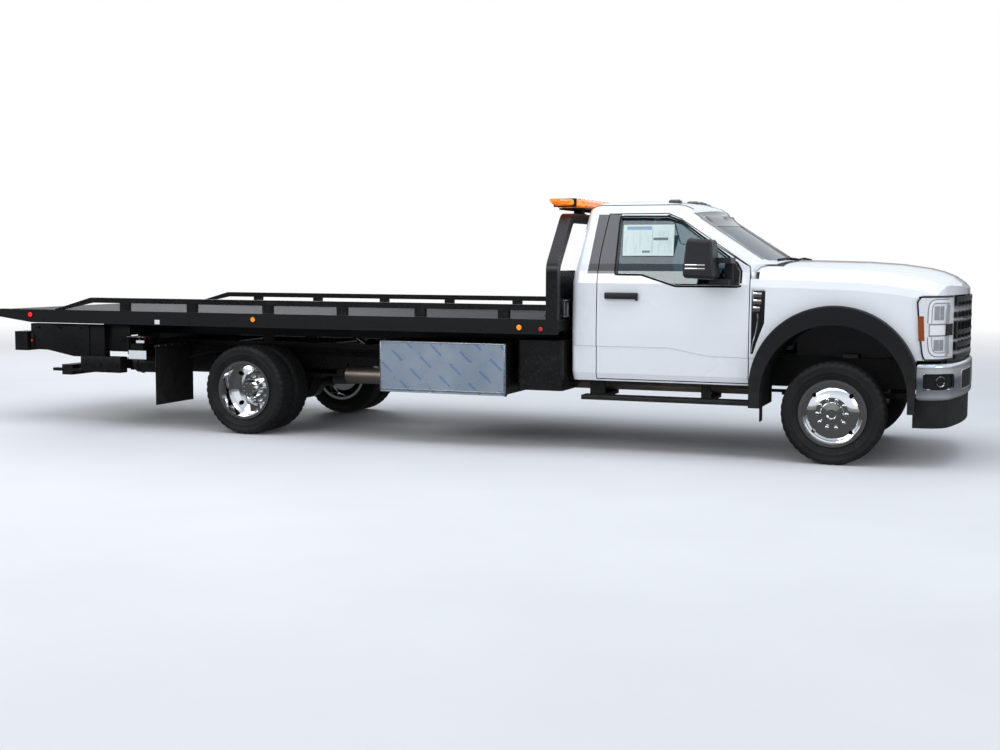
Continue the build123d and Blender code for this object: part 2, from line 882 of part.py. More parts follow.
def cab_body(shell, gap_zone, windscreen_zone, back_zone):
    """The cab shell with its openings, floor and sills."""
    body = shell - gap_zone - mirrored(gap_zone) - windscreen_zone - back_zone
    reach = cab_half_width + 10
    floor_half = cab_half_width - sill_tuck - panel_wall - shut_gap
    floor_low = floor_top - floor_thickness
    # The rails and the gearbox pass under the floor
    body -= block((-cab_back - 10, -400), (-870, 870), (sill_bottom - 10, floor_low))
    # The fenders lap over the hinge pillars
    recess = block((-door_front + shut_gap - 4, -400), (-reach, -cab_half_width + fender_wall + 14),
                   (sill_bottom - 10, belt_height + 30))
    body -= recess + mirrored(recess)
    floor_span = (-cab_back + 20, -door_front - 7)
    body += block(floor_span, (-floor_half, floor_half), (floor_low, floor_top))
    sill = block(floor_span, (-floor_half, -floor_half + 70), (sill_bottom, floor_top))
    return body + sill + mirrored(sill)


def build_cab():
    """Write the cab shell, the doors with their mirrors, and all the glass."""
    shell = cab_volume(0, 0, 0) - cab_volume(panel_wall, roof_wall, 40) - crease_tool()
    glass_inset = panel_wall / 2
    glass_top = roof_wall / 2
    pane_form = cab_volume(glass_inset, glass_top, 20)
    pane_form -= cab_volume(glass_inset + glass_thickness, glass_top + glass_thickness, 30)
    reach = cab_half_width + 10
    door_zone, gap_zone = cab_cuts()
    window_zone = side_slab(window_outline(), -reach, -500)
    windscreen_zone = front_slab(windscreen_outline(), -1330, -300)
    back_zone = front_slab(back_window_outline(), -cab_back - 10, -cab_back + 200)
    write_node("cab_shell", cab_body(shell, gap_zone, windscreen_zone, back_zone))
    write_node("cab_glass", group(pane_form & windscreen_zone, pane_form & back_zone))

    door = (shell & door_zone) - window_zone + door_handle()
    # The mirror's sail panel fills the front corner of the window
    sail_zone = block((mirror_sail_x, -600), (-reach, -500), (1300, 1700))
    pane = (pane_form & window_zone) - sail_zone
    mirror_piece = (shell & window_zone & sail_zone) + door_mirror()
    for side, sign in sides:
        write_node("door_" + side, on_side(door, sign))
        write_node("door_glass_" + side, on_side(pane, sign))
        write_node("mirror_" + side, on_side(mirror_piece, sign))


def door_handle():
    """The pull handle, with room for fingers behind it."""
    skin = -cab_half_width
    handle = block((handle_rear, handle_front), (skin - handle_reach, skin + 12),
                   around(handle_z, handle_height / 2))
    room = block((handle_rear + 26, handle_front - 26), (skin - 6, skin + 20), around(handle_z, handle_height))
    return handle - room


def door_mirror():
    """A tall towing mirror on its two arms, with a post on the door's sail corner."""
    head = side_slab(side_face(mirror_outline), -mirror_reach, -mirror_reach + mirror_depth)
    head = fillet(head.edges(), mirror_round)
    foot_y = -cab_half_width + 42
    pieces = head
    for rear, front, low, high in mirror_arms:
        pieces += block((rear, front), (-mirror_reach + mirror_depth - 100, foot_y - 30), (low, high))
    post = block((mirror_post_rear, mirror_post_front), (foot_y - 75, foot_y - 15), (mirror_arms[0][2], high))
    post = fillet(post.edges().filter_by(Axis.Z), 20)
    return pieces + post + block((-850, -775), (foot_y - 50, foot_y + 12), (1430, 1560))


def seats():
    """Two bucket seats with headrests and the console between them."""
    seat_low = floor_top + 200
    rest_z = header_height - 95
    back_low = floor_top + 300
    back_high = rest_z - 60
    pieces = []
    for y in (-seat_y, seat_y):
        seat = block((seat_rear, seat_front), around(y, seat_half), (seat_low, seat_low + cushion_thickness))
        seat = fillet(seat.edges(), 40)
        lean = Rot(0, seat_lean, 0)
        back = Pos(seat_rear, y, (back_low + back_high) / 2) * lean
        back = back * Box(back_thickness, 2 * seat_half - 20, back_high - back_low)
        back = fillet(back.edges(), 45)
        rest = Pos(seat_rear - 110, y, rest_z) * lean * Box(rest_thickness, rest_width, rest_height)
        rest = fillet(rest.edges(), 35)
        base = block((seat_rear + 50, seat_front - 50), around(y, seat_half - 60), (floor_top, seat_low + 10))
        pieces.append(seat + back + rest + base)
    console = block((seat_rear + 90, seat_front), (-console_half, console_half), (floor_top, floor_top + 380))
    console = fillet(console.edges().filter_by(Axis.X), 30)
    return group(*pieces, console)


def dashboard():
    """The dashboard with knee room on both sides, the column and the steering wheel."""
    profile = side_face([
        (-720, floor_top), (-720, 1440), (-860, 1455), (-985, 1420), (-1040, 1330),
        (-1010, 1190), (-900, 1080), (-860, floor_top)])
    half = cab_half_width - panel_wall - 90
    dash = side_slab(profile, -half, half)
    knee = block((-1100, -790), (170, half + over), (floor_top - over, 1130))
    dash -= knee + mirrored(knee)
    tilt = Rot(0, column_tilt, 0)
    column = Pos(-1080, seat_y, column_z) * tilt * Cylinder(30, column_length)
    wheel = Torus(steering_wheel_radius, steering_rim_radius) + Box(60, 350, 16) + Cylinder(55, 40)
    return dash + column + Pos(-1200, seat_y, column_z + 56) * tilt * wheel


# Nose

def nose_section(x, half_width, edge, crown):
    """A front view outline of the nose, from the sill to the hood's crown."""
    right = [(-half_width + 22, sill_bottom - 80), (-half_width + 4, rocker_height), (-half_width, 1000),
             (-half_width + 10, edge - 170), (-half_width + 26, edge - 110), (-half_width + 56, edge - 58),
             (-half_width + 108, edge - 20), (-half_width + 200, edge)]
    left = [(-y, z) for y, z in reversed(right)]
    lines = [Line(a, b) for a, b in zip(right, right[1:])]
    lines += [ThreePointArc(right[-1], (0, crown), left[0])]
    lines += [Line(a, b) for a, b in zip(left, left[1:])]
    lines += [Line(left[-1], right[0])]
    return Plane.YZ.offset(x) * make_face(lines)


# Columns: x, half width, height of the hood's edge, height of its crown
nose_outline = (
    (-665, cab_half_width, 1552, 1596),
    (-250, cab_half_width, 1544, 1592),
    (160, cab_half_width, 1530, 1582),
    (420, cab_half_width - 4, 1507, 1564),
    (640, cab_half_width - 14, 1472, 1532),
    (740, cab_half_width - 22, 1445, 1506),
    (830, cab_half_width - 34, 1408, 1470),
    (900, cab_half_width - 46, 1362, 1420),
    (960, cab_half_width - 60, 1300, 1352))


def nose_volume(inset, drop):
    """The nose's outer form, or the same form set in by a wall."""
    faces = []
    for x, half_width, edge, crown in nose_outline:
        face = nose_section(x, half_width - inset, edge - inset, crown - inset)
        faces.append(face.moved(Location((0, 0, -drop))))
    return loft(faces, ruled=True)


def front_plan(reach, corner_reach, half_width, corner, rear):
    """A plan outline of the truck's front, with a bowed face and round corners."""
    outline = [
        Line((rear, -half_width), (corner_reach, -half_width)),
        ThreePointArc((corner_reach, -half_width), (reach, 0), (corner_reach, half_width)),
        Line((corner_reach, half_width), (rear, half_width)),
        Line((rear, half_width), (rear, -half_width))]
    face = make_face(outline)
    front = face.vertices().sort_by(Axis.X)[-2:]
    return fillet(front, corner)


def nose_plan(inset, half_width, corner):
    """The nose's plan outline, set in behind its outer face."""
    return front_plan(nose_front - inset, nose_corner_x - inset, half_width, corner, -900)


def bumper_plan(inset, corner, rear):
    """The bumper's plan outline, set in behind its outer face."""
    return front_plan(front_overhang - inset, bumper_corner_x - inset, bumper_half_width - inset, corner, rear)


def arch_face(radius, height, foot):
    """A wheel arch in side view: a half circle on two upright legs."""
    outline = [
        Line((radius, foot), (radius, height)),
        ThreePointArc((radius, height), (0, height + radius), (-radius, height)),
        Line((-radius, height), (-radius, foot)),
        Line((-radius, foot), (radius, foot))]
    return make_face(outline)


def lamp_outline(grow):
    """The headlamp in side view, leaning back at its top, larger all round by grow."""
    ahead = front_overhang + 100
    face = side_face([
        (lamp_rear, lamp_top), (lamp_rear + lamp_lean, lamp_bottom + lamp_foot),
        (lamp_rear + lamp_foot_lean, lamp_bottom), (ahead, lamp_bottom), (ahead, lamp_top)])
    if grow:
        face = offset(face, grow, kind=Kind.INTERSECTION)
    corner = face.vertices().sort_by(Axis.X)[0]
    return fillet(corner, lamp_round + grow)


def vent_recess():
    """The tapering recess behind the right-hand front wheel's arch."""
    face = side_face(vent_outline)
    face = fillet(face.vertices().sort_by(Axis.X)[2:], vent_round)
    return side_slab(face, -cab_half_width - 2, -cab_half_width + vent_depth)


def hood_and_fenders():
    """Write the hood, the cowl and the fenders, cut from one shell."""
    wide = cab_half_width + 100
    outer = nose_volume(0, 0) & plan_slab(nose_plan(0, cab_half_width, nose_corner_round), 400, 1700)
    inner = nose_volume(fender_wall, 1)
    inner &= plan_slab(nose_plan(fender_wall, cab_half_width + 20, nose_corner_round), 300, 1700)
    wall_y = cab_half_width - fender_wall
    inner = inner + block((-700, -600), (-wall_y, wall_y), (400, 1500))
    shell = outer - inner - crease_tool()
    lamp_cut = side_slab(lamp_outline(lamp_gap), -wide, wide)
    lamp_cut += block((bumper_end - 6, 1100), (-wide, wide), (bumper_bottom - 200, lamp_bottom))
    seam = hood_half_width + 6
    hood_zone = block((hood_rear, 1100), (-hood_half_width, hood_half_width), (1100, 1700))
    fender_gap = block((-700, 1100), (-seam, seam), (1100, 1700))

    write_node("hood", (shell & hood_zone) - lamp_cut)

    cowl_zone = block((-640, hood_rear - 6), (-hood_half_width, hood_half_width), (1400, 1700))
    cowl = (shell & cowl_zone).moved(Location((0, 0, -6))) - cab_volume(-running_gap, 0, 0)
    write_node("cowl", cowl)

    fenders = shell - fender_gap - lamp_cut
    fenders -= side_slab(arch_face(arch_outer_radius, arch_outer_height, 200), -wide, wide)
    fenders -= block((-700, 1100), (-700, 700), (300, 1700))
    fenders -= block((-700, 1100), (-wide, wide), (300, sill_bottom + 6))
    fenders -= vent_recess() + mirrored(vent_recess())
    fenders -= cab_volume(-6, 0, 0) & block((-700, -300), (-980, 980), (500, 1700))
    flange = block((-660, -645), (-cab_half_width + 20, -cab_half_width + fender_wall + 14 - running_gap),
                   (980, 1180))
    write_node("fenders", fenders + flange + mirrored(flange))


def wheel_flares():
    """The flares around the front wheels, each with the liner inside its arch."""
    wall_y = -cab_half_width + fender_wall + 4
    opening = arch_face(arch_inner_radius, arch_inner_height, flare_foot - 25)
    lip = side_slab(arch_face(arch_outer_radius, arch_outer_height, flare_foot), -flare_reach, wall_y)
    lip = fillet(lip.faces().sort_by(Axis.Y)[0].edges().sort_by(Axis.Z)[1:], flare_round)
    lip -= side_slab(opening, -flare_reach - 10, -cab_half_width + 200)
    lip -= block((bumper_end - 6, 1200), (-flare_reach - over, -500), (0, lamp_bottom))
    lip -= side_slab(lamp_outline(lamp_gap), -flare_reach - over, -500)
    liner = arch_face(arch_inner_radius + 10, arch_inner_height, flare_foot)
    liner = side_slab(liner, wall_y, -rail_outer_y - 60)
    return both(lip + liner - side_slab(opening, -flare_reach, -400))


def front_lamps():
    """The two headlamps that wrap the nose's corners, and five roof lamps."""
    band = plan_slab(nose_plan(0, cab_half_width, nose_corner_round), lamp_bottom, lamp_top)
    inner = front_plan(nose_front - lamp_depth, nose_corner_x - lamp_depth, cab_half_width - 90,
                       nose_corner_round - 70, -900)
    band -= plan_slab(inner, lamp_bottom - over, lamp_top + over)
    lamp = band & side_slab(lamp_outline(0), -cab_half_width - 100, -grille_half_width)
    roof = cab_volume(-running_gap, -running_gap, 0)
    roof_lamps = []
    for x, y in roof_lamps_at:
        lamp_box = block(around(x, roof_lamp_length / 2), around(y, roof_lamp_width / 2),
                         (header_height, crown_height + roof_lamp_height / 2))
        lamp_box = chamfer(lamp_box.edges().group_by(Axis.Z)[-1], roof_lamp_height / 2)
        roof_lamps.append(lamp_box - roof)
    return group(lamp, mirrored(lamp), *roof_lamps)


def grille():
    """The grille's frame with its bars and slats, on stays from the radiator and the hood."""
    reach = front_overhang - 15
    band = plan_slab(front_plan(reach, grille_corner_x, cab_half_width, nose_corner_round, 400),
                     lamp_bottom, lamp_top - 6)
    band -= plan_slab(front_plan(reach - grille_depth, grille_corner_x - grille_depth, cab_half_width - 40,
                                 nose_corner_round - 20, 390), lamp_bottom - over, lamp_top)
    band = band & block((700, 1100), (-grille_half_width, grille_half_width), (lamp_bottom, lamp_top))
    inside = grille_half_width - grille_border
    frame = band - block((600, 1100), (-inside, inside),
                         (lamp_bottom + grille_border, lamp_top - grille_border))
    pieces = []
    for z in grille_bars_z:
        pieces.append(band & block((600, 1100), (-inside - 30, inside + 30), around(z, grille_bar_half)))
    for step in range(-4, 5):
        slat = around(step * grille_slat_pitch, grille_slat_half)
        pieces.append(band & block((600, 1100), slat, (lamp_bottom + 20, lamp_top - 20)))
    for y in (-grille_stay_y, grille_stay_y):
        pieces.append(block((radiator_front + running_gap, reach - 48), around(y, 20), (1005, 1040)))
        pieces.append(block((reach - 48, reach - 32), around(y, 20),
                            (lamp_top - 10, lamp_top + 4 - running_gap)))
    return frame + pieces


def front_bumper():
    """The bumper with rounded edges, open fog lamp pockets and its two beams to the frame."""
    flat = Axis.Z
    bumper = plan_slab(bumper_plan(0, bumper_corner_round, bumper_end), bumper_bottom, bumper_top)
    bumper = fillet(bumper.edges().filter_by(flat, reverse=True).group_by(flat)[-1], bumper_round)
    bumper = fillet(bumper.edges().filter_by(flat, reverse=True).group_by(flat)[0], bumper_round)
    bumper -= plan_slab(bumper_plan(bumper_wall, bumper_inner_round, bumper_end - over),
                        bumper_bottom - over, bumper_top + over)
    pocket = block((fog_rear, fog_front), (-cab_half_width - 10, -fog_inner_y),
                   (bumper_bottom + fog_low, bumper_top - fog_high))
    pocket = fillet(pocket.edges().filter_by(Axis.Y), fog_round)
    bumper -= pocket + mirrored(pocket)
    beam = block((rail_front, front_overhang - bumper_wall), (-rail_outer_y, -rail_outer_y + 120),
                 (bumper_bottom + 60, bumper_top - 40))
    beam &= plan_slab(bumper_plan(bumper_wall / 2, bumper_inner_round, bumper_end - over), bumper_bottom, bumper_top)
    return bumper + beam + mirrored(beam)


def air_dam():
    """The air dam tucked inside the bumper's lower edge, and the plates behind the fog pockets."""
    tuck = bumper_wall + running_gap
    outer = bumper_plan(tuck, bumper_inner_round, bumper_end - 25)
    inner = front_plan(front_overhang - tuck - 38, bumper_corner_x - tuck - 53, bumper_half_width - tuck - 35,
                       bumper_inner_round, bumper_end - 30)
    dam_top = bumper_bottom + 20
    dam = plan_slab(outer, dam_bottom, dam_top) - plan_slab(inner, dam_bottom - over, dam_top + over)
    tall = (bumper_bottom + fog_low - 5, bumper_top - fog_high + 5)
    plate = plan_slab(bumper_plan(bumper_wall, bumper_inner_round, bumper_end - over), *tall)
    plate -= plan_slab(bumper_plan(bumper_wall + 14, bumper_inner_round - 14, bumper_end - 3),
                       bumper_bottom, bumper_top)
    plate = plate & block((fog_rear - 30, fog_front + 20), (-cab_half_width, -fog_inner_y + 20), tall)
    return group(dam, plate, mirrored(plate))


# Sides

def running_boards():
    """Running boards, each on two brackets from the frame rail."""
    board = block((board_rear, board_front), (-board_outer_y, -board_inner_y), (board_bottom, board_top))
    board = fillet(board.edges().filter_by(Axis.X), board_round)
    web = (-rail_outer_y, -rail_outer_y + 30)
    for rear, front in board_brackets:
        board += block((rear, front), (-board_inner_y - 10, -rail_outer_y + 30),
                       (board_bottom + 8, board_top - 2))
        board += block((rear, front), web, (board_bottom + 8, frame_bottom))
        board += block((rear, front), around(-board_inner_y, 10), (board_top - 10, frame_bottom + 20))
    return both(board)


def mud_flaps():
    """Mud flaps ahead of the tail, hung from a bar on the frame rail."""
    flap = block(around(flap_x, flap_thickness / 2), (-flap_outer_y, -flap_inner_y), (flap_bottom, flap_top))
    flap += block(around(flap_x, 20), (-flap_outer_y, -rail_outer_y), (flap_top - 20, flap_top))
    return both(flap)


def toolbox_hinge_line():
    """Y and z of the line about which a right-hand toolbox door drops open."""
    return -toolbox_outer_y + toolbox_door / 2, toolbox_bottom - toolbox_hinge_radius


def toolboxes():
    """Two boxes open to the outside, with ears for the hinge rods of their doors."""
    door_face = toolbox_outer_y - toolbox_door - toolbox_gap
    box = block((-toolbox_rear, -toolbox_front), (-door_face, -toolbox_inner_y), (toolbox_bottom, toolbox_top))
    box -= block((-toolbox_rear + toolbox_wall, -toolbox_front - toolbox_wall),
                 (-door_face - over, -toolbox_inner_y - toolbox_wall),
                 (toolbox_bottom + toolbox_wall, toolbox_top - toolbox_wall))
    for x in (-toolbox_rear + 150, -toolbox_front - 150):
        box += block(around(x, 30), (-toolbox_inner_y, -rail_outer_y), (680, 740))
    hinge_y, hinge_z = toolbox_hinge_line()
    for x in (-toolbox_rear, -toolbox_front - toolbox_wall):
        box += block((x, x + toolbox_wall), (hinge_y - toolbox_ear, -door_face + 20),
                     around(hinge_z, toolbox_ear))
    box -= long_rod(hinge_y, hinge_z, toolbox_hinge_radius + running_gap,
                    -toolbox_rear - over, -toolbox_front + over)
    return both(box)


def toolbox_lid():
    """The right-hand toolbox door with its hinge rod."""
    outer = -toolbox_outer_y
    lid = block((-toolbox_rear + toolbox_lid_gap, -toolbox_front - toolbox_lid_gap),
                (outer, outer + toolbox_door),
                (toolbox_bottom + 2 * toolbox_lid_gap, toolbox_top - toolbox_lid_gap))
    hinge_y, hinge_z = toolbox_hinge_line()
    lid += long_rod(hinge_y, hinge_z, toolbox_hinge_radius, -toolbox_rear + over, -toolbox_front - over)
    inside = toolbox_wall + 2
    lid += block((-toolbox_rear + inside, -toolbox_front - inside), around(hinge_y, toolbox_hinge_radius / 2),
                 (hinge_z, toolbox_bottom + 2 * toolbox_lid_gap + over))
    return lid


def control_station():
    """The shelf of valves with its cover plate and a row of levers."""
    shelf = block((shelf_rear, shelf_front), (-shelf_outer_y, -rail_outer_y),
                  (shelf_bottom, shelf_bottom + shelf_thickness))
    valves = block((shelf_rear + 10, shelf_front - 10), (-shelf_outer_y + 10, -shelf_outer_y + 240),
                   (shelf_bottom + shelf_thickness, valve_top))
    cover = block((shelf_rear - 20, shelf_front + 20), (-shelf_outer_y - 10, -shelf_outer_y + 260),
                  (station_cover_z, station_cover_z + 6))
    stay = block((shelf_rear - 10, shelf_rear), (-shelf_outer_y - 5, -shelf_outer_y + 255),
                 (shelf_bottom, station_cover_z + 6))
    pieces = shelf + valves + cover + stay
    for step in range(6):
        y = -shelf_outer_y + 30 + step * lever_pitch
        pieces += upright_rod(lever_x, y, lever_knob_radius / 2, valve_top - over, lever_top)
        pieces += Pos(lever_x, y, lever_top + 2) * Sphere(lever_knob_radius)
    return pieces


def side_tanks():
    """A tall tank behind the cab on each side, on two brackets from the frame rail."""
    tank = block((side_tank_rear, side_tank_front), (-side_tank_outer_y, -side_tank_inner_y),
                 (side_tank_bottom, side_tank_top))
    tank = fillet(tank.edges().filter_by(Axis.Z), side_tank_corner)
    for x in (side_tank_rear + 60, side_tank_front - 60):
        tank += block(around(x, 25), (-side_tank_inner_y - 5, -rail_outer_y), (640, 700))
    return both(tank)


# Tilting frame and bed

def beam_and_lugs():
    """The right-hand tilting beam with its hinge, its cylinder lug and the tail arm."""
    inner = runner_half_gap
    outer = runner_half_gap + tilt_beam_width
    boss_end = rail_outer_y - 5
    beam = block((-tilt_rear, -tilt_front), (-outer, -inner), (tilt_beam_bottom, tilt_beam_top))
    beam += cross_rod(tilt_pivot_x, tilt_pivot_z, pivot_boss_radius, -boss_end, -inner)
    beam += block(around(tilt_pivot_x, pivot_boss_radius), (-outer, -inner),
                  (tilt_pivot_z, tilt_beam_bottom + 5))
    beam += cross_rod(tilt_pivot_x, tilt_pivot_z, pivot_pin_radius, -rail_outer_y - 40, -boss_end + 5)
    # Lug beside the eye of the tilt cylinder's rod
    beam += block(around(tilt_eye_x, 45), (-inner - 5, -tilt_cylinder_y - eye_half - running_gap),
                  (tilt_eye_z - 40, tilt_eye_z + 45))
    beam += block((tail_arm_rear, -tilt_rear + 50), (-outer + 10, -inner - 10),
                  (tail_arm_bottom, tilt_beam_bottom + 5))
    # Ear for the wheel lift
    ear = block(around(lift_pivot_x, 45), (-lift_ear_y - lift_ear_plate, -lift_ear_y),
                (lift_pivot_z - 45, tilt_beam_bottom + 5))
    ear -= cross_rod(lift_pivot_x, lift_pivot_z, pivot_pin_radius + running_gap, -lift_ear_y - 20, 0)
    # Box that holds the tail lamps
    lamp_box = block((lamp_box_rear, lamp_box_front), around(-lamp_box_y, lamp_box_half),
                     (lamp_box_bottom, lamp_box_top))
    return beam, ear, lamp_box


def tilt_frame():
    """Two long beams that hinge at the rear, with the slide cylinder's barrel between."""
    beam, ear, lamp_box = beam_and_lugs()
    frame = beam + mirrored(beam)
    reach = runner_half_gap + 5
    for x in tilt_members_x:
        frame += block(around(x, tilt_member_half), (-reach, reach),
                       (tilt_beam_bottom, tilt_beam_bottom + tilt_member_height))
    frame += block((lamp_bar_rear, lamp_bar_rear + 60), (-lamp_bar_half, lamp_bar_half),
                   (lamp_bar_bottom, tail_arm_bottom))
    frame += lamp_box + mirrored(lamp_box)
    frame += ear + mirrored(ear)
    barrel = long_rod(0, slide_axis_z, slide_barrel_radius, slide_barrel_rear, -tilt_front - 60)
    barrel -= long_rod(0, slide_axis_z, slide_rod_radius + running_gap,
                       slide_barrel_rear - over, -tilt_front - 110)
    for x in slide_saddles_x:
        barrel += block(around(x, 30), (-slide_barrel_radius, slide_barrel_radius),
                        (tilt_beam_bottom + 5, slide_axis_z - slide_rod_radius - 10))
    return frame + barrel


def slide_rod():
    """The slide cylinder's rod, drawn into its barrel at rest."""
    rod = long_rod(0, slide_axis_z, slide_rod_radius, slide_eye_x, -tilt_front - 150)
    eye_top = deck_top - deck_thickness - member_height
    return rod + block((slide_eye_x - 60, slide_eye_x), (-40, 40), (slide_axis_z - 38, eye_top))


def deck_side():
    """The right-hand side channel of the deck with its lip, sloping down to the tail."""
    lip_top = deck_top + lip_height
    slope_end = -tail_reach + lip_slope
    channel = side_face([
        (-tail_reach, deck_top - tail_tip_height), (-tail_reach, deck_top), (slope_end, lip_top),
        (-bed_front, lip_top), (-bed_front, bed_bottom), (-tail_reach + tail_taper, bed_bottom)])
    lip = side_face([
        (-tail_reach, deck_top - over), (-tail_reach, deck_top), (slope_end, lip_top),
        (-bed_front, lip_top), (-bed_front, deck_top - over)])
    side = side_slab(channel, -bed_half_width, -bed_half_width + side_channel)
    return side + side_slab(lip, -bed_half_width, -bed_half_width + lip_width)


def bed_deck():
    """The steel deck with its side channels, cross members, runners and tapered tail."""
    under = deck_top - deck_thickness
    member_low = under - member_height
    side_y = bed_half_width - side_channel
    taper_start = -tail_reach + tail_taper
    deck = block((-tail_reach, -bed_front), (-side_y, side_y), (under, deck_top))
    deck += block((-front_plate_end, -bed_front), (-side_y, side_y),
                  (deck_top - over, deck_top + front_plate_thickness))
    deck += deck_side() + mirrored(deck_side())
    wedge = side_face([
        (-tail_reach, deck_top - tail_tip_height), (-tail_reach, under), (taper_start, under),
        (taper_start, member_low)])
    deck += side_slab(wedge, -side_y, side_y)
    member = -bed_front - 30
    while member > taper_start:
        deck += block(around(member, member_width / 2), (-side_y, side_y), (member_low, under))
        member -= member_pitch
    inner = runner_half_gap + runner_inset
    runner = block((taper_start, -tilt_front - 20), (-inner - runner_width, -inner),
                   (tilt_beam_top + slide_clearance, member_low + 5))
    return deck + runner + mirrored(runner)


def side_rails():
    """Low tube rails on posts along both sides of the deck."""
    outer = bed_half_width - rail_inset
    inner = outer - rail_tube
    front = headboard_x - headboard_post / 2
    low = deck_top + lip_height
    rail = side_face([
        (front, bed_rail_top), (-rail_slope_start, bed_rail_top), (-rail_slope_end, low + 6),
        (-rail_slope_end, low), (-rail_slope_end + 70, low), (-rail_slope_start + 6, bed_rail_top - rail_tube),
        (front, bed_rail_top - rail_tube)])
    rail = side_slab(rail, -outer, -inner)
    for x in rail_posts_x:
        rail += block(around(x, post_width / 2), (-outer, -inner), (low, bed_rail_top - 10))
    return both(rail)


def hoop_outline(inset, low, corner):
    """The headboard's hoop in front view, set in all round, with four round corners."""
    foot = bed_half_width - inset
    bend = headboard_bend - inset / 3
    top_half = headboard_top_half + 40 - inset / 2
    top = headboard_top - inset
    face = make_face(Polyline(
        (-foot, low), (-foot, bend), (-top_half, top), (top_half, top), (foot, bend), (foot, low), close=True))
    return fillet(face.vertices().sort_by(Axis.Y)[2:], corner)


def headboard():
    """The hooped headboard with its lower panel, welded to the front of the deck."""
    low = deck_top + lip_height
    rear = headboard_x - headboard_post / 2
    front = headboard_x + headboard_post / 2
    frame = front_slab(hoop_outline(0, low, headboard_corner), rear, front)
    frame -= front_slab(hoop_outline(headboard_tube, low - over, headboard_corner - headboard_tube / 2),
                        rear - over, front + over)
    wide = bed_half_width - headboard_tube + 5
    plate = deck_top + front_plate_thickness
    frame += block(around(headboard_x, 5), (-wide, wide), (plate, headboard_panel_top))
    frame += block(around(headboard_x, 25), (-wide, wide), (headboard_panel_top - 50, headboard_panel_top))
    for y in headboard_struts_y:
        frame += block(around(headboard_x, 25), around(y, 25), (plate, headboard_panel_top))
    return frame


def light_bar():
    """The flat amber light bar with tapered ends, on two feet above the headboard's hoop."""
    low = beacon_bottom
    middle = (beacon_bottom + beacon_top) / 2
    straight = beacon_half - beacon_taper
    tall = make_face(Polyline(
        (-beacon_half, middle - 8), (-straight, low), (straight, low), (beacon_half, middle - 8),
        (beacon_half, middle + 8), (straight, beacon_top), (-straight, beacon_top), (-beacon_half, middle + 8),
        close=True))
    plan = make_face(Polyline(
        (-beacon_depth, -straight), (-beacon_tip_depth, -beacon_half), (beacon_tip_depth, -beacon_half),
        (beacon_depth, -straight), (beacon_depth, straight), (beacon_tip_depth, beacon_half),
        (-beacon_tip_depth, beacon_half), (-beacon_depth, straight), close=True))
    bar = front_slab(tall, headboard_x - beacon_depth, headboard_x + beacon_depth)
    bar &= Pos(headboard_x, 0, 0) * plan_slab(plan, low - over, beacon_top + over)
    bar = chamfer(bar.edges().filter_by(Axis.Y).group_by(Axis.Z)[-1], beacon_edge)
    for y in beacon_feet_y:
        bar += block(around(headboard_x, 40), around(y, 60), (headboard_top, low + 2))
    return bar


def marker_lamps():
    """Round marker lamps along both sides of the bed."""
    lamps = []
    for x, z in marker_lamps_at:
        lamps.append(both(cross_rod(x, z, marker_radius, -bed_half_width - marker_depth, -bed_half_width)))
    return group(*lamps)


def tail_lamps():
    """Round tail lamps on the backs of the two lamp boxes."""
    lamps = []
    for y in tail_lamps_y:
        lamps.append(long_rod(y, tail_lamp_z, tail_lamp_radius, lamp_box_rear - 10, lamp_box_rear))
    return group(*lamps)


def winch_frame():
    """Two bearing plates, a tie bar and the motor, on a base plate behind the headboard."""
    floor = deck_top + front_plate_thickness
    plate_y = drum_half_length + 22
    motor_y = drum_half_length + 60
    plate = block(around(winch_x, 90), (-plate_y - winch_plate, -plate_y), (floor, winch_z + 110))
    plate -= cross_rod(winch_x, winch_z, drum_shaft_radius + running_gap, -plate_y - winch_plate - over, 0)
    motor = cross_rod(winch_x, winch_z, winch_motor_radius, -motor_y - 200, -motor_y)
    motor += block(around(winch_x, 70), (-motor_y - 10, -motor_y + 10), (floor, winch_z + winch_motor_radius))
    tie = cross_rod(winch_x - 76, winch_z + 90, 14, -plate_y - 8, plate_y + 8)
    base = block(around(winch_x, 90), (-motor_y - 200, plate_y + winch_plate), (floor, floor + 10))
    return plate + mirrored(plate) + tie + base + motor


def winch_drum():
    """The winch drum with its two flanges and its shaft."""
    half = drum_half_length
    shaft_end = half + 36
    drum = ring_about_y([
        (0, -shaft_end), (drum_shaft_radius, -shaft_end), (drum_shaft_radius, -half),
        (drum_flange_radius, -half),
        (drum_flange_radius, -half + drum_flange), (drum_radius, -half + drum_flange),
        (drum_radius, half - drum_flange), (drum_flange_radius, half - drum_flange), (drum_flange_radius, half),
        (drum_shaft_radius, half), (drum_shaft_radius, shaft_end), (0, shaft_end)])
    return Pos(winch_x, 0, winch_z) * drum


def along_cylinder(distance, radius, length):
    """A round bar on the right-hand tilt cylinder's line, from a distance past its base pin."""
    base = Vector(tilt_base_x, -tilt_cylinder_y, tilt_base_z)
    eye = Vector(tilt_eye_x, -tilt_cylinder_y, tilt_eye_z)
    direction = (eye - base).normalized()
    plane = Plane(origin=base + direction * distance, x_dir=(0, 1, 0), z_dir=direction)
    return plane * Pos(0, 0, length / 2) * Cylinder(radius, length)


def tilt_barrel():
    """The right-hand tilt cylinder's barrel with the eye at its lower end."""
    barrel = along_cylinder(30, tilt_barrel_radius, tilt_barrel_length - 30)
    eye = around(-tilt_cylinder_y, tilt_barrel_radius - 4)
    barrel += cross_rod(tilt_base_x, tilt_base_z, base_eye_radius, *eye)
    bore = around(-tilt_cylinder_y, tilt_barrel_radius + 28)
    barrel -= cross_rod(tilt_base_x, tilt_base_z, base_pin_radius + running_gap, *bore)
    return barrel - along_cylinder(tilt_rod_start - 20, tilt_rod_radius + running_gap, tilt_barrel_length)


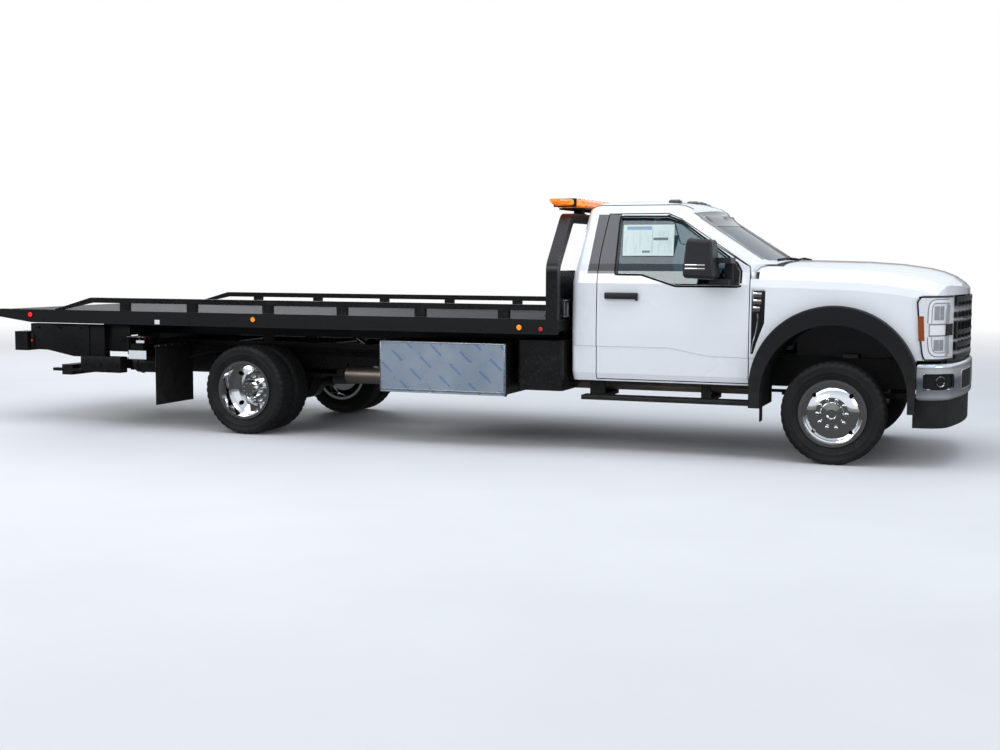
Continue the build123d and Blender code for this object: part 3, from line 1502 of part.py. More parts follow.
def tilt_rod():
    """The right-hand tilt cylinder's rod with the eye at its upper end."""
    span = math.dist((tilt_base_x, tilt_base_z), (tilt_eye_x, tilt_eye_z))
    rod = along_cylinder(tilt_rod_start, tilt_rod_radius, span - tilt_rod_start)
    return rod + cross_rod(tilt_eye_x, tilt_eye_z, rod_eye_radius, *around(-tilt_cylinder_y, eye_half))


def lift_boom():
    """The wheel lift's box arm with its pivot boss."""
    half = lift_box / 2
    inside = half - lift_wall
    arm = block((lift_rear, lift_front), (-half, half), around(lift_axis_z, half))
    arm -= block((lift_rear - over, lift_front - 30), (-inside, inside), around(lift_axis_z, inside))
    arm += block(around(lift_pivot_x, 40), (-half, half), (lift_axis_z + half - 2, lift_pivot_z))
    arm += cross_rod(lift_pivot_x, lift_pivot_z, 40, -lift_ear_y + 5, lift_ear_y - 5)
    pin_end = lift_ear_y + lift_ear_plate + 4
    return arm + cross_rod(lift_pivot_x, lift_pivot_z, pivot_pin_radius, -pin_end, pin_end)


def lift_stinger():
    """The sliding bar, the crossbar and the fork arms of the wheel lift."""
    half = lift_box / 2 - lift_wall - running_gap
    bar = block((stinger_end + 60, lift_front - 60), (-half, half), around(lift_axis_z, half))
    bar += block((stinger_end, stinger_end + crossbar_width), (-crossbar_half, crossbar_half),
                 around(lift_axis_z, half + running_gap))
    for y in (-crossbar_half + fork_arm_half, crossbar_half - fork_arm_half):
        bar += block((stinger_end - 110, stinger_end + 230), around(y, fork_arm_half),
                     around(lift_axis_z, fork_arm_half / 2))
    return bar


os.makedirs("parts", exist_ok=True)
for side, sign in sides:
    front_wheel(side, sign)
    rear_wheel(side, sign)
    write_node("knuckle_" + side, on_side(knuckle(), sign))
    write_node("toolbox_door_" + side, on_side(toolbox_lid(), sign))
build_cab()
hood_and_fenders()
# Columns: name of the node, the function that makes it
nodes = (
    ("chassis_frame", chassis_frame), ("front_axle", front_axle), ("rear_axle", rear_axle),
    ("powertrain", powertrain), ("fuel_tank", fuel_tank), ("exhaust", exhaust), ("seats", seats),
    ("dashboard", dashboard), ("wheel_flares", wheel_flares), ("front_lamps", front_lamps), ("grille", grille),
    ("front_bumper", front_bumper), ("air_dam", air_dam), ("running_boards", running_boards),
    ("mud_flaps", mud_flaps), ("toolboxes", toolboxes), ("control_station", control_station),
    ("side_tanks", side_tanks), ("tilt_frame", tilt_frame), ("slide_rod", slide_rod), ("bed_deck", bed_deck),
    ("side_rails", side_rails), ("headboard", headboard), ("light_bar", light_bar),
    ("marker_lamps", marker_lamps), ("tail_lamps", tail_lamps), ("winch_frame", winch_frame),
    ("winch_drum", winch_drum), ("lift_boom", lift_boom), ("lift_stinger", lift_stinger))
for name, make in nodes:
    write_node(name, make())
write_node("tilt_barrels", both(tilt_barrel()))
write_node("tilt_rods", both(tilt_rod()))
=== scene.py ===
import bpy
import bmesh
import math
import random
from mathutils import Matrix, Vector
from mathutils.bvhtree import BVHTree


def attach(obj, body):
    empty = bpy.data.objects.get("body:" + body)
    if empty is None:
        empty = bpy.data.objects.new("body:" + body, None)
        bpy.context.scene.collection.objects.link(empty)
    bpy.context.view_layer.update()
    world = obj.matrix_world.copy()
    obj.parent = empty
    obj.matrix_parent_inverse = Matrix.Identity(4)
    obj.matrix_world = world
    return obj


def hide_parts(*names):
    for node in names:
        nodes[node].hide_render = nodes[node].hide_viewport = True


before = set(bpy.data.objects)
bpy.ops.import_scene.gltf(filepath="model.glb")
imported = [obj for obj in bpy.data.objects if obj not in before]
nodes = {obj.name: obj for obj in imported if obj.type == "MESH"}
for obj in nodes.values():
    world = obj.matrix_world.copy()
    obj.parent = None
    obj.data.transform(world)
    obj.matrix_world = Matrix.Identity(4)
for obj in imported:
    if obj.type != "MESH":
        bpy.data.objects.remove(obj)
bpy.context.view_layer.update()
scene = bpy.context.scene
random.seed(7)

# Places are given in millimetres from the front axle, the middle plane and the ground
SHIFT = 3.5625
SIDES = (("left", 1), ("right", -1))


def at(x, y, z):
    return Vector((x / 1000 + SHIFT, y / 1000, z / 1000))


# Materials

class Shader:
    """A material in the making. Each method adds a node and gives back its output."""

    def __init__(self, name, world=None):
        self.material = world or bpy.data.materials.new(name)
        self.material.use_nodes = True
        self.tree = self.material.node_tree
        self.tree.nodes.clear()
        self.out = self.node("OutputWorld" if world else "OutputMaterial")
        if not world:
            self.bsdf = self.node("BsdfPrincipled")
            self.put(self.out.inputs[0], self.bsdf.outputs[0])
        self.place = self.node("TexCoord").outputs["Generated" if world else "Object"]

    def node(self, kind, *values, **named):
        """Adds a node and fills its inputs, by order or by name."""
        node = self.tree.nodes.new("ShaderNode" + kind)
        for i, value in enumerate(values):
            self.put(node.inputs[i], value)
        for name, value in named.items():
            self.put(node.inputs[name.replace("_", " ")], value)
        return node

    def put(self, socket, value):
        """Gives a socket a number or a colour, or links it."""
        if isinstance(value, tuple):
            socket.default_value = (*value, 1.0)[:len(socket.default_value)]
        elif isinstance(value, (int, float)):
            socket.default_value = value
        else:
            self.tree.links.new(value, socket)

    def give(self, **values):
        """Fills the main shader's inputs."""
        for name, value in values.items():
            self.put(self.bsdf.inputs[name.replace("_", " ")], value)

    def noise(self, scale, detail=3.0, stretch=None):
        place = self.place
        if stretch:
            place = self.node("Mapping", place, Scale=stretch).outputs[0]
        return self.node("TexNoise", place, Scale=scale, Detail=detail).outputs["Fac"]

    def wave(self, direction, scale, distortion=0.0):
        node = self.node("TexWave", self.place, Scale=scale, Distortion=distortion)
        node.bands_direction = direction
        return node.outputs["Fac"]

    def ranged(self, value, low, high, start=0.3, end=0.7):
        return self.node("MapRange", value, start, end, low, high).outputs[0]

    def uneven(self, low, high, scale, detail=3.0, stretch=None):
        """Noise between two numbers."""
        return self.ranged(self.noise(scale, detail, stretch), low, high)

    def mixed(self, factor, first, second):
        node = self.node("Mix")
        node.data_type = "RGBA"
        for i, value in ((0, factor), (6, first), (7, second)):
            self.put(node.inputs[i], value)
        return node.outputs[2]

    def drift(self, first, second, scale, detail=3.0):
        """A colour that wanders between two."""
        return self.mixed(self.uneven(0, 1, scale, detail), first, second)

    def maths(self, kind, first, second=0.0):
        node = self.node("Math", first, second)
        node.operation = kind
        return node.outputs[0]

    def add(self, first, second):
        return self.maths("ADD", first, second)

    def times(self, first, *others):
        for other in others:
            first = self.maths("MULTIPLY", first, other)
        return first

    def part(self, value, scale):
        """What is left of a value after whole steps."""
        return self.maths("FRACT", self.times(value, scale))

    def above(self, value, limit):
        return self.maths("GREATER_THAN", value, limit)

    def below(self, value, limit):
        return self.maths("LESS_THAN", value, limit)

    def within(self, value, low, high):
        return self.times(self.above(value, low), self.below(value, high))

    def axes(self):
        return tuple(self.node("SeparateXYZ", self.place).outputs)

    def ramp(self, factor, stops):
        """Colours by place along 0 to 1."""
        node = self.node("ValToRGB", factor)
        elements = node.color_ramp.elements
        elements[0].position, elements[0].color = stops[0][0], (*stops[0][1], 1)
        elements[1].position, elements[1].color = stops[-1][0], (*stops[-1][1], 1)
        for position, colour in stops[1:-1]:
            elements.new(position).color = (*colour, 1)
        return node.outputs[0]

    def blend(self, factor, first, second):
        """A mix of two shaders."""
        return self.node("MixShader", factor, first, second).outputs[0]

    def bumped(self, height, strength, distance):
        self.give(Normal=self.node("Bump", Strength=strength, Distance=distance, Height=height).outputs[0])


def surface(name, colour, rough, metal=0.0, spread=0.06, drift=0.1, grain=900.0, bump=0.15,
            depth=0.0004, coat=0.0, dust=0.0, stretch=None, shine=0.5):
    """A procedural finish: colour drift, uneven roughness, fine grain and dust low down."""
    s = Shader(name)
    tone = s.drift(tuple(c * (1 - drift) for c in colour), colour, 3.0)
    if dust:
        low = s.ranged(s.axes()[2], dust, 0.0, 0.25, 1.0)
        tone = s.mixed(s.times(low, s.uneven(0.2, 1.0, 14.0, 6.0)), tone, (0.2, 0.185, 0.165))
    s.give(Base_Color=tone, Roughness=s.uneven(max(rough - spread, 0.02), rough + spread, 22.0, 5.0, stretch),
           Metallic=metal, Coat_Weight=coat, Coat_Roughness=0.04, Specular_IOR_Level=shine)
    s.bumped(s.noise(grain, 2.0, stretch), bump, depth)
    return s.material


def white_paint():
    """Gloss white with the black pillar panels beside the side windows and a black handle."""
    s = Shader("white_paint")
    x, y, z = s.axes()
    far = s.maths("ABSOLUTE", y)
    rear = s.add(x, s.times(z, -0.045))
    ahead = s.add(x, s.times(z, 0.052))
    panel = s.times(s.above(rear, -2.023 + SHIFT - 0.045 * 1.49), s.below(ahead, -1.774 + SHIFT + 0.052 * 1.48),
                    s.within(z, 1.478, 1.97), s.above(far, 0.7))
    black = s.maths("MAXIMUM", panel, s.times(s.above(far, 1.0175), s.within(z, 1.2, 1.36)))
    tone = s.drift((0.775, 0.8, 0.84), (0.8, 0.825, 0.86), 1.6)
    dust = s.times(s.ranged(z, 0.1, 0.0, 0.55, 0.85), s.uneven(0.3, 1.0, 18.0, 6.0))
    tone = s.mixed(black, s.mixed(dust, tone, (0.46, 0.44, 0.41)), (0.022, 0.022, 0.025))
    s.give(Base_Color=tone, Roughness=s.add(s.uneven(0.24, 0.28, 2.5, 2.0), s.times(black, 0.06)),
           Coat_Weight=1.0, Coat_Roughness=0.03)
    s.bumped(s.noise(90.0, 1.0), 0.012, 0.0003)
    return s.material


def window_glass():
    """Thin tinted glass that lets light through and mirrors at a slant."""
    s = Shader("window_glass")
    clear = s.node("BsdfTransparent", s.drift((0.3, 0.43, 0.47), (0.35, 0.48, 0.51), 2.0))
    s.give(Base_Color=(0.9, 0.95, 0.95), Metallic=1.0, Roughness=0.02)
    share = s.add(s.times(s.node("Fresnel", 1.5).outputs[0], 0.9), 0.05)
    s.put(s.out.inputs[0], s.blend(share, clear.outputs[0], s.bsdf.outputs[0]))
    return s.material


def lens(name, colour, glow=0.0, ribs=60.0, depth=0.55, other=None):
    """A moulded lamp lens with ribs, lit from inside by its glow. Other gives a second colour's place."""
    s = Shader(name)
    wave = s.wave("Z", ribs, 0.4)
    tone = s.mixed(wave, tuple(c * depth for c in colour), colour)
    if other:
        beyond, axis, limit, second = other
        tone = s.mixed(s.maths(beyond, s.axes()[axis], limit), tone, second)
    s.give(Base_Color=tone, Roughness=0.12, Coat_Weight=1.0, Transmission_Weight=0.15)
    if glow:
        s.give(Emission_Color=tone, Emission_Strength=s.ranged(s.noise(26.0, 2.0), 0.35 * glow, 1.6 * glow, 0.35, 0.65))
    s.bumped(wave, 0.35, 0.001)
    return s.material


def filmed_aluminium():
    """Bare aluminium under a pale blue protective film with faint slanted marks."""
    s = Shader("filmed_aluminium")
    x, _, z = s.axes()
    along = s.add(x, s.times(z, -0.9))
    across = s.add(z, s.times(x, 0.9))
    marks = s.times(s.within(s.part(across, 5.2), 0.4, 0.53), s.within(s.part(along, 3.1), 0.22, 0.8),
                    s.above(s.part(along, 58.0), 0.35))
    tone = s.drift((0.26, 0.32, 0.4), (0.36, 0.42, 0.5), 2.4, 4.0)
    s.give(Base_Color=s.mixed(s.times(marks, 0.8), tone, (0.05, 0.17, 0.42)), Metallic=0.35,
           Roughness=s.uneven(0.24, 0.42, 9.0, 5.0))
    s.bumped(s.noise(7.0, 4.0, (1.0, 1.0, 2.5)), 0.25, 0.004)
    return s.material


def cloth(name, colour):
    """Woven seat cloth with a visible weave and a soft sheen."""
    s = Shader(name)
    weave = [s.wave(direction, 120.0) for direction in "XYZ"]
    height = s.add(s.times(weave[0], weave[1]), weave[2])
    tone = s.mixed(s.ranged(height, 0, 1, 0.2, 1.4), tuple(c * 0.6 for c in colour), colour)
    s.give(Base_Color=tone, Roughness=s.uneven(0.78, 0.92, 40.0), Sheen_Weight=0.25)
    s.bumped(height, 0.4, 0.0008)
    return s.material


def tyre_rubber():
    """Black rubber that is greyer and dusty on the tread."""
    s = Shader("tyre_rubber")
    tone = s.drift((0.007, 0.0072, 0.0075), (0.013, 0.0132, 0.0136), 9.0, 5.0)
    tone = s.mixed(s.ranged(s.axes()[2], 0.3, 0.0, 0.0, 0.1), tone, (0.07, 0.067, 0.063))
    s.give(Specular_IOR_Level=0.28, Base_Color=tone, Roughness=s.uneven(0.55, 0.78, 35.0, 5.0))
    s.bumped(s.noise(700.0, 2.0), 0.12, 0.0005)
    return s.material


def black_steel(name, wear=0.12):
    """Semi-gloss black paint on steel with a slightly uneven coat and small chips on edges."""
    s = Shader(name)
    edge = s.ranged(s.node("NewGeometry").outputs["Pointiness"], 0, 1, 0.53, 0.6)
    chips = s.times(edge, s.ranged(s.noise(45.0, 6.0), 0, wear * 1.5, 0.5, 0.8))
    tone = s.mixed(chips, s.drift((0.004, 0.0042, 0.0048), (0.008, 0.008, 0.009), 2.2, 4.0), (0.1, 0.095, 0.09))
    dust = s.times(s.ranged(s.axes()[2], 0.22, 0.0, 0.2, 0.9), s.uneven(0.1, 1, 16.0, 6.0))
    s.give(Base_Color=s.mixed(dust, tone, (0.06, 0.056, 0.052)), Roughness=s.uneven(0.24, 0.34, 3.0),
           Specular_IOR_Level=0.32)
    s.bumped(s.noise(60.0, 2.0), 0.04, 0.0005)
    return s.material


def painted_reflection_trim(name, stops, base=0.0, front=None):
    """Bright trim with painted reflections: its tone runs in painted light and dark bands by height above a base. What
    lies behind a bowed front is painted black as shade.
    """
    s = Shader(name)
    x, y, z = s.axes()
    # The ramp by height paints reflection bands: painted highlights and painted shade in place of a mirrored sky and
    # ground
    tone = s.ramp(s.maths("SUBTRACT", s.add(z, s.times(s.noise(5.0), 0.012)), base), stops)
    metal, coat = 0.62, 0.8
    if front:
        reach, bend, depth = front
        # Painted shade: parts behind the bowed front are made black and lose their shine
        recess_shade = s.below(s.add(x, s.times(s.times(y, y), bend)), reach + SHIFT - depth)
        tone = s.mixed(recess_shade, tone, (0.006, 0.0062, 0.0066))
        metal, coat = (s.maths("SUBTRACT", value, s.times(recess_shade, value)) for value in (metal, coat))
    s.give(Base_Color=tone, Metallic=metal, Coat_Weight=coat, Coat_Roughness=0.03,
           Roughness=s.uneven(0.08, 0.16, 12.0))
    s.bumped(s.noise(30.0, 2.0), 0.02, 0.0003)
    return s.material


def printed_paper():
    """Pale paper with faint rows of plain marks and a few blank panels."""
    s = Shader("printed_paper")
    x, _, z = s.axes()
    column = s.maths("FRACT", s.add(s.times(x, 4.65), 0.26))
    rows = s.times(s.above(s.part(z, 95.0), 0.45), s.within(column, 0.06, 0.9),
                   s.above(s.noise(70.0, 2.0, (1.0, 1.0, 0.02)), 0.52), s.within(z, 1.65, 1.83))
    tone = s.drift((0.6, 0.72, 0.7), (0.68, 0.78, 0.76), 4.0)
    tone = s.mixed(s.times(rows, 0.28), tone, (0.22, 0.34, 0.36))
    for x0, x1, z0, z1, colour, share in (
            (-1.72, -1.51, 1.838, 1.866, (0.1, 0.22, 0.42), 0.7),
            (-1.495, -1.37, 1.752, 1.774, (0.04, 0.07, 0.07), 0.85),
            (-1.585, -1.52, 1.65, 1.668, (0.04, 0.1, 0.1), 0.8),
            (-1.504, -1.5, 1.65, 1.866, (0.2, 0.3, 0.3), 0.6)):
        panel = s.times(s.within(x, x0 + SHIFT, x1 + SHIFT), s.within(z, z0, z1))
        tone = s.mixed(s.times(panel, share), tone, colour)
    s.give(Base_Color=tone, Roughness=s.uneven(0.45, 0.6, 30.0))
    s.bumped(s.noise(18.0, 2.0), 0.1, 0.001)
    return s.material


# Painted shade between the grille's slats and painted highlight on them
GAP_SHADE = (0.02, 0.02, 0.022)
SLAT_HIGHLIGHT = (0.85, 0.87, 0.9)

M = {
    "white": white_paint(),
    # Bumper: painted reflection bands by height, a white painted highlight near the top and dark bands below
    "bumper": painted_reflection_trim("bumper_chrome_painted_reflection", (
        (0.52, (0.3, 0.31, 0.34)), (0.56, (0.62, 0.65, 0.7)), (0.6, (0.36, 0.38, 0.42)), (0.675, (0.22, 0.24, 0.27)),
        (0.7, (0.42, 0.45, 0.5)), (0.718, (0.86, 0.9, 0.97)), (0.765, (1.0, 1.0, 1.0)), (0.785, (0.6, 0.65, 0.7)))),
    # Grille: painted highlight lines on the slats and painted shade between them, set by height
    "grille": painted_reflection_trim("grille_chrome_painted_light", (
        (0.47, GAP_SHADE), (0.49, (0.75, 0.77, 0.8)), (0.51, GAP_SHADE), (0.57, GAP_SHADE), (0.584, SLAT_HIGHLIGHT), (0.6, GAP_SHADE),
        (0.73, GAP_SHADE), (0.746, SLAT_HIGHLIGHT), (0.765, (0.03, 0.03, 0.033)), (0.8, (0.03, 0.03, 0.033)),
        (0.815, (0.8, 0.82, 0.85)), (0.86, (0.03, 0.03, 0.033))), 0.4, (0.96, 0.347, 0.012)),
    "paper": printed_paper(),
    "shade": surface("lamp_shade", (0.2, 0.21, 0.23), 0.3, coat=0.6),
    "reflector": surface("lamp_reflector", (0.5, 0.52, 0.56), 0.2, metal=0.5, spread=0.08, coat=0.6),
    "plastic": surface("black_plastic", (0.0085, 0.0095, 0.011), 0.5, grain=1400.0, bump=0.3, dust=0.12,
                       shine=0.22),
    "mirror": surface("mirror_plastic", (0.018, 0.02, 0.023), 0.42, grain=1400.0, bump=0.3, shine=0.35),
    "dam": surface("dam_plastic", (0.01, 0.0105, 0.011), 0.55, grain=1200.0, bump=0.3, dust=0.05, shine=0.25),
    "cabin": surface("cabin_plastic", (0.06, 0.06, 0.064), 0.62, grain=1100.0, bump=0.35),
    "frame": black_steel("frame_black", 0.05),
    "bed": black_steel("bed_black"),
    "deck": surface("deck_black", (0.01, 0.0105, 0.0115), 0.62, grain=260.0, bump=0.3, depth=0.001,
                    dust=0.1, shine=0.18),
    "cast": surface("cast_grey", (0.1, 0.1, 0.105), 0.62, metal=0.5, grain=240.0, bump=0.35, depth=0.001, dust=0.3),
    "exhaust": surface("exhaust_steel", (0.3, 0.26, 0.225), 0.42, metal=0.85, drift=0.35, grain=300.0,
                       stretch=(1, 6, 6)),
    "steel": surface("bare_steel", (0.42, 0.42, 0.43), 0.34, metal=1.0, drift=0.2, grain=300.0, stretch=(1, 5, 5)),
    "chrome": surface("chrome", (0.86, 0.87, 0.89), 0.055, metal=1.0, spread=0.02, drift=0.04, grain=40.0,
                      bump=0.02, depth=0.0003),
    "bright": surface("bright_trim", (0.8, 0.83, 0.87), 0.14, metal=0.62, spread=0.04, drift=0.05, grain=50.0,
                      bump=0.02, depth=0.0003, coat=0.6),
    "dark_chrome": surface("dark_chrome", (0.22, 0.225, 0.235), 0.12, metal=1.0, spread=0.03, grain=60.0, bump=0.02),
    "rim": surface("polished_rim", (0.84, 0.85, 0.86), 0.07, metal=1.0, spread=0.03, drift=0.06, grain=60.0,
                   bump=0.03, depth=0.0003),
    "tyre": tyre_rubber(),
    "gloss": surface("gloss_black", (0.012, 0.0125, 0.013), 0.12, spread=0.04, coat=0.8),
    "rubber": surface("flap_rubber", (0.005, 0.0052, 0.0055), 0.66, grain=500.0, bump=0.25, dust=0.12, shine=0.2),
    "glass": window_glass(),
    "clear": lens("lamp_clear", (0.9, 0.92, 0.95), 0.0, 90.0, 0.84, ("GREATER_THAN", 2, 1.8, (0.03, 0.028, 0.026))),
    "red": lens("lamp_red", (0.55, 0.01, 0.012), 0.5),
    "amber": lens("lamp_amber", (0.95, 0.25, 0.02), 0.9, other=("LESS_THAN", 0, SHIFT - 7.4, (0.75, 0.012, 0.014))),
    "amber_off": lens("lamp_amber_off", (0.36, 0.068, 0.006), 0.1),
    "beacon": lens("beacon_lens", (1.0, 0.22, 0.015), 1.1, 26.0),
    # The light bar's amber lens, darkened as painted shade for its far part
    "amber_painted_shade": lens("amber_lens_painted_shade", (0.06, 0.024, 0.01), 0.0, 26.0),
    "cloth": cloth("seat_cloth", (0.17, 0.17, 0.18)),
    "film": filmed_aluminium(),
    "aluminium": surface("bright_aluminium", (0.72, 0.73, 0.75), 0.28, metal=1.0, spread=0.08, stretch=(1, 8, 8)),
    "label": surface("blank_label", (0.72, 0.74, 0.76), 0.45, drift=0.05, grain=300.0),
    "knob_red": surface("knob_red", (0.45, 0.012, 0.012), 0.35, coat=0.6),
    "guide": surface("light_guide", (0.8, 0.81, 0.82), 0.25, spread=0.05, coat=0.8, grain=260.0),
    "rope": surface("wire_rope", (0.26, 0.26, 0.27), 0.4, metal=0.9, grain=600.0, bump=0.6, depth=0.001),
}

CAD_FINISH = {
    "white": ("cab_shell", "fenders", "hood", "door_left", "door_right"),
    "plastic": ("cowl", "wheel_flares", "running_boards", "fuel_tank"),
    "mirror": ("mirror_left", "mirror_right"),
    "dam": ("air_dam",),
    "cabin": ("dashboard", "seats"),
    "frame": ("chassis_frame", "front_axle", "rear_axle", "knuckle_left", "knuckle_right"),
    "deck": ("bed_deck",),
    "bed": ("toolboxes", "side_tanks", "tilt_frame", "side_rails", "headboard", "winch_frame",
            "control_station", "lift_boom", "lift_stinger", "tilt_barrels"),
    "cast": ("powertrain",),
    "exhaust": ("exhaust",),
    "steel": ("winch_drum",),
    "chrome": ("slide_rod", "tilt_rods"),
    "bumper": ("front_bumper",),
    "grille": ("grille",),
    "rim": ("rim_front_left", "rim_front_right", "rim_rear_left", "rim_rear_right"),
    "tyre": ("tyre_front_left", "tyre_front_right", "tyre_rear_left", "tyre_rear_right"),
    "rubber": ("mud_flaps",),
    "glass": ("cab_glass", "door_glass_left", "door_glass_right"),
    "clear": ("front_lamps",),
    "red": ("tail_lamps",),
    "amber": ("marker_lamps",),
    "beacon": ("light_bar",),
    "film": ("toolbox_door_left", "toolbox_door_right"),
}
for finish, names in CAD_FINISH.items():
    for name in names:
        nodes[name].data.materials.clear()
        nodes[name].data.materials.append(M[finish])


# Mesh tools

def placed(name, data):
    """Puts data into the scene as a new object."""
    piece = bpy.data.objects.new(name, data)
    scene.collection.objects.link(piece)
    return piece


def formed(name, bm):
    """Turns a bmesh into an object of the scene."""
    mesh = bpy.data.meshes.new(name)
    bm.to_mesh(mesh)
    bm.free()
    return placed(name, mesh)


def loft(bm, loops, closed=False):
    """Joins loops of equal length into a skin, with flat ends when it is open."""
    for first, second in zip(loops, loops[1:] + loops[:closed]):
        for i in range(len(first)):
            j = (i + 1) % len(first)
            bm.faces.new((first[i], first[j], second[j], second[i]))
    if not closed:
        bm.faces.new(reversed(loops[0]))
        bm.faces.new(loops[-1])


def circle(count, radius=1.0):
    """Points round a circle, as pairs."""
    turns = [2 * math.pi * i / count for i in range(count)]
    return [(radius * math.cos(t), radius * math.sin(t)) for t in turns]


class Kit:
    """Collects small formed pieces into one mesh."""

    def __init__(self):
        self.bm = bmesh.new()

    def loop(self, points):
        return [self.bm.verts.new(p) for p in points]

    def slab(self, low, high, bevel=2.0):
        """A bar with rounded edges between two corners, in truck millimetres."""
        low, high = (at(*map(pick, low, high)) for pick in (min, max))
        size, middle = high - low, (high + low) / 2
        made = bmesh.ops.create_cube(self.bm, size=1.0)["verts"]
        for v in made:
            v.co = Vector((v.co.x * size.x, v.co.y * size.y, v.co.z * size.z)) + middle
        bevel = min(bevel / 1000, min(map(abs, size)) * 0.45)
        edges = list({e for v in made for e in v.link_edges})
        bmesh.ops.bevel(self.bm, geom=edges, offset=bevel, segments=2, affect="EDGES", profile=0.6)

    def rod(self, a, b, radius, sides=16, end_radius=None, bevel=0.0):
        """A round bar from a to b, in truck millimetres, with chamfered ends."""
        a, b = at(*a), at(*b)
        radius, chamfer = radius / 1000, bevel / 1000
        end = radius if end_radius is None else end_radius / 1000
        length = (b - a).length
        turn = (b - a).to_track_quat("Z", "Y").to_matrix()
        rings = [(0, radius - chamfer), (chamfer, radius), (length - chamfer, end), (length, end - chamfer)]
        if not chamfer:
            rings = [(0, radius), (length, end)]
        loft(self.bm, [self.loop(a + turn @ Vector((x, y, height)) for x, y in circle(sides, r))
                       for height, r in rings])

    def nut(self, centre, axis, width, height):
        """A hexagon nut or bolt head whose outer face looks along axis."""
        start = Vector(centre)
        self.rod(start, start + Vector(axis) * height, width / 2, 6, bevel=width * 0.08)

    def tube(self, points, radius, sides=8, closed=False):
        """A round tube through points, given in frame metres."""
        points = [Vector(p) for p in points]
        count = len(points)
        loops = []
        for i, p in enumerate(points):
            before = points[i - 1] if i or closed else p
            after = points[(i + 1) % count] if i < count - 1 or closed else p
            turn = (after - before).to_track_quat("Z", "Y").to_matrix()
            loops.append(self.loop(p + turn @ Vector((x, y, 0)) for x, y in circle(sides, radius)))
        for first, second in zip(loops, loops[1:] + loops[:closed]):
            offset = min(range(sides), key=lambda o: (first[0].co - second[o].co).length)
            for k in range(sides):
                j = (k + 1) % sides
                self.bm.faces.new((first[k], first[j], second[(j + offset) % sides], second[(k + offset) % sides]))
        if not closed:
            self.bm.faces.new(reversed(loops[0]))
            self.bm.faces.new(loops[-1])

    def sheet(self, grid, thickness=0.0):
        """A skin over a grid of points in frame metres, thickened inward along its normals."""
        rows = [self.loop(row) for row in grid]
        faces = []
        for first, second in zip(rows, rows[1:]):
            for i in range(len(first) - 1):
                faces.append(self.bm.faces.new((first[i], first[i + 1], second[i + 1], second[i])))
        if thickness:
            bmesh.ops.recalc_face_normals(self.bm, faces=faces)
            bmesh.ops.solidify(self.bm, geom=faces, thickness=thickness)

    def prism(self, outline, y0, y1):
        """A plate with an outline in the side view and rounded edges."""
        near, far = (self.loop(at(x, y, z) for x, z in outline) for y in (y0, y1))
        faces = [self.bm.faces.new(near), self.bm.faces.new(reversed(far))]
        for i in range(len(outline)):
            j = (i + 1) % len(outline)
            faces.append(self.bm.faces.new((near[i], far[i], far[j], near[j])))
        edges = list({e for f in faces for e in f.edges})
        bmesh.ops.bevel(self.bm, geom=edges, offset=0.004, segments=2, affect="EDGES", profile=0.6)

    def make(self, name, material, slot, body="chassis", smooth=40.0, instead_of=None):
        bmesh.ops.recalc_face_normals(self.bm, faces=self.bm.faces)
        piece = formed(name, self.bm)
        piece.data.materials.append(M[material])
        piece.data.shade_smooth()
        piece.data.set_sharp_from_angle(angle=math.radians(smooth))
        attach(piece, body)
        if instead_of:
            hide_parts(instead_of)


def tree_of(*names):
    """A search tree over CAD nodes, in frame metres."""
    bm = bmesh.new()
    for name in names:
        bm.from_mesh(nodes[name].data)
    tree = BVHTree.FromBMesh(bm)
    bm.free()
    return tree


def drop_on(tree, start, way, lift=0.0):
    """The point where a ray from start meets the surface, lifted off it along the ray."""
    way = way.normalized()
    hit = tree.ray_cast(start, way)[0]
    return None if hit is None else hit - way * lift


def catmull(points, steps=6, closed=False):
    """A smooth line through points of any length."""
    out = []
    count = len(points)
    for i in range(count if closed else count - 1):
        p0 = points[(i - 1) % count] if closed or i else points[0]
        p1, p2 = points[i], points[(i + 1) % count]
        p3 = points[(i + 2) % count] if closed or i < count - 2 else points[-1]
        for k in range(steps):
            t = k / steps
            out.append(tuple(0.5 * (2 * b + (c - a) * t + (2 * a - 5 * b + 4 * c - d) * t * t
                                    + (3 * b - a - 3 * c + d) * t ** 3)
                             for a, b, c, d in zip(p0, p1, p2, p3)))
    return out if closed else out + [tuple(points[-1])]


# Tyres with grooved treads and ringed sidewalls

WHEEL_Z = 403
REAR_AXLE = -5215
# Radius, half width and kind of cut: 1 shoulder blocks, 2 ribs, 3 the middle rib
TYRE_HALF = (
    (266, 90, 0), (280, 94, 0), (294, 101, 0), (297, 103, 0), (300, 102, 0), (318, 109, 0), (322, 111, 0),
    (326, 109.5, 0), (345, 112.5, 0), (362, 111.5, 0), (366, 112, 0), (370, 109, 0), (381, 105, 1), (392, 99, 1),
    (399.5, 90, 1), (402.6, 80, 1), (402.8, 64, 0), (402.8, 58, 0), (394, 56.5, 0), (394, 50, 0), (402.9, 48, 2),
    (402.9, 24, 2), (394, 22.5, 0), (394, 16, 0), (402.9, 14.5, 3))


def tyre_cut(i, r, y, kind):
    """Depth of the tread's cuts at a step round the tyre."""
    if kind == 1 and i % 6 in (4, 5):
        return 6.0 if r < 401 else 7.5
    if kind == 2 and (i + (2 if y > 0 else 0)) % 6 == 5:
        return 5.0
    return 2.5 if kind == 3 and i % 3 == 2 else 0.0


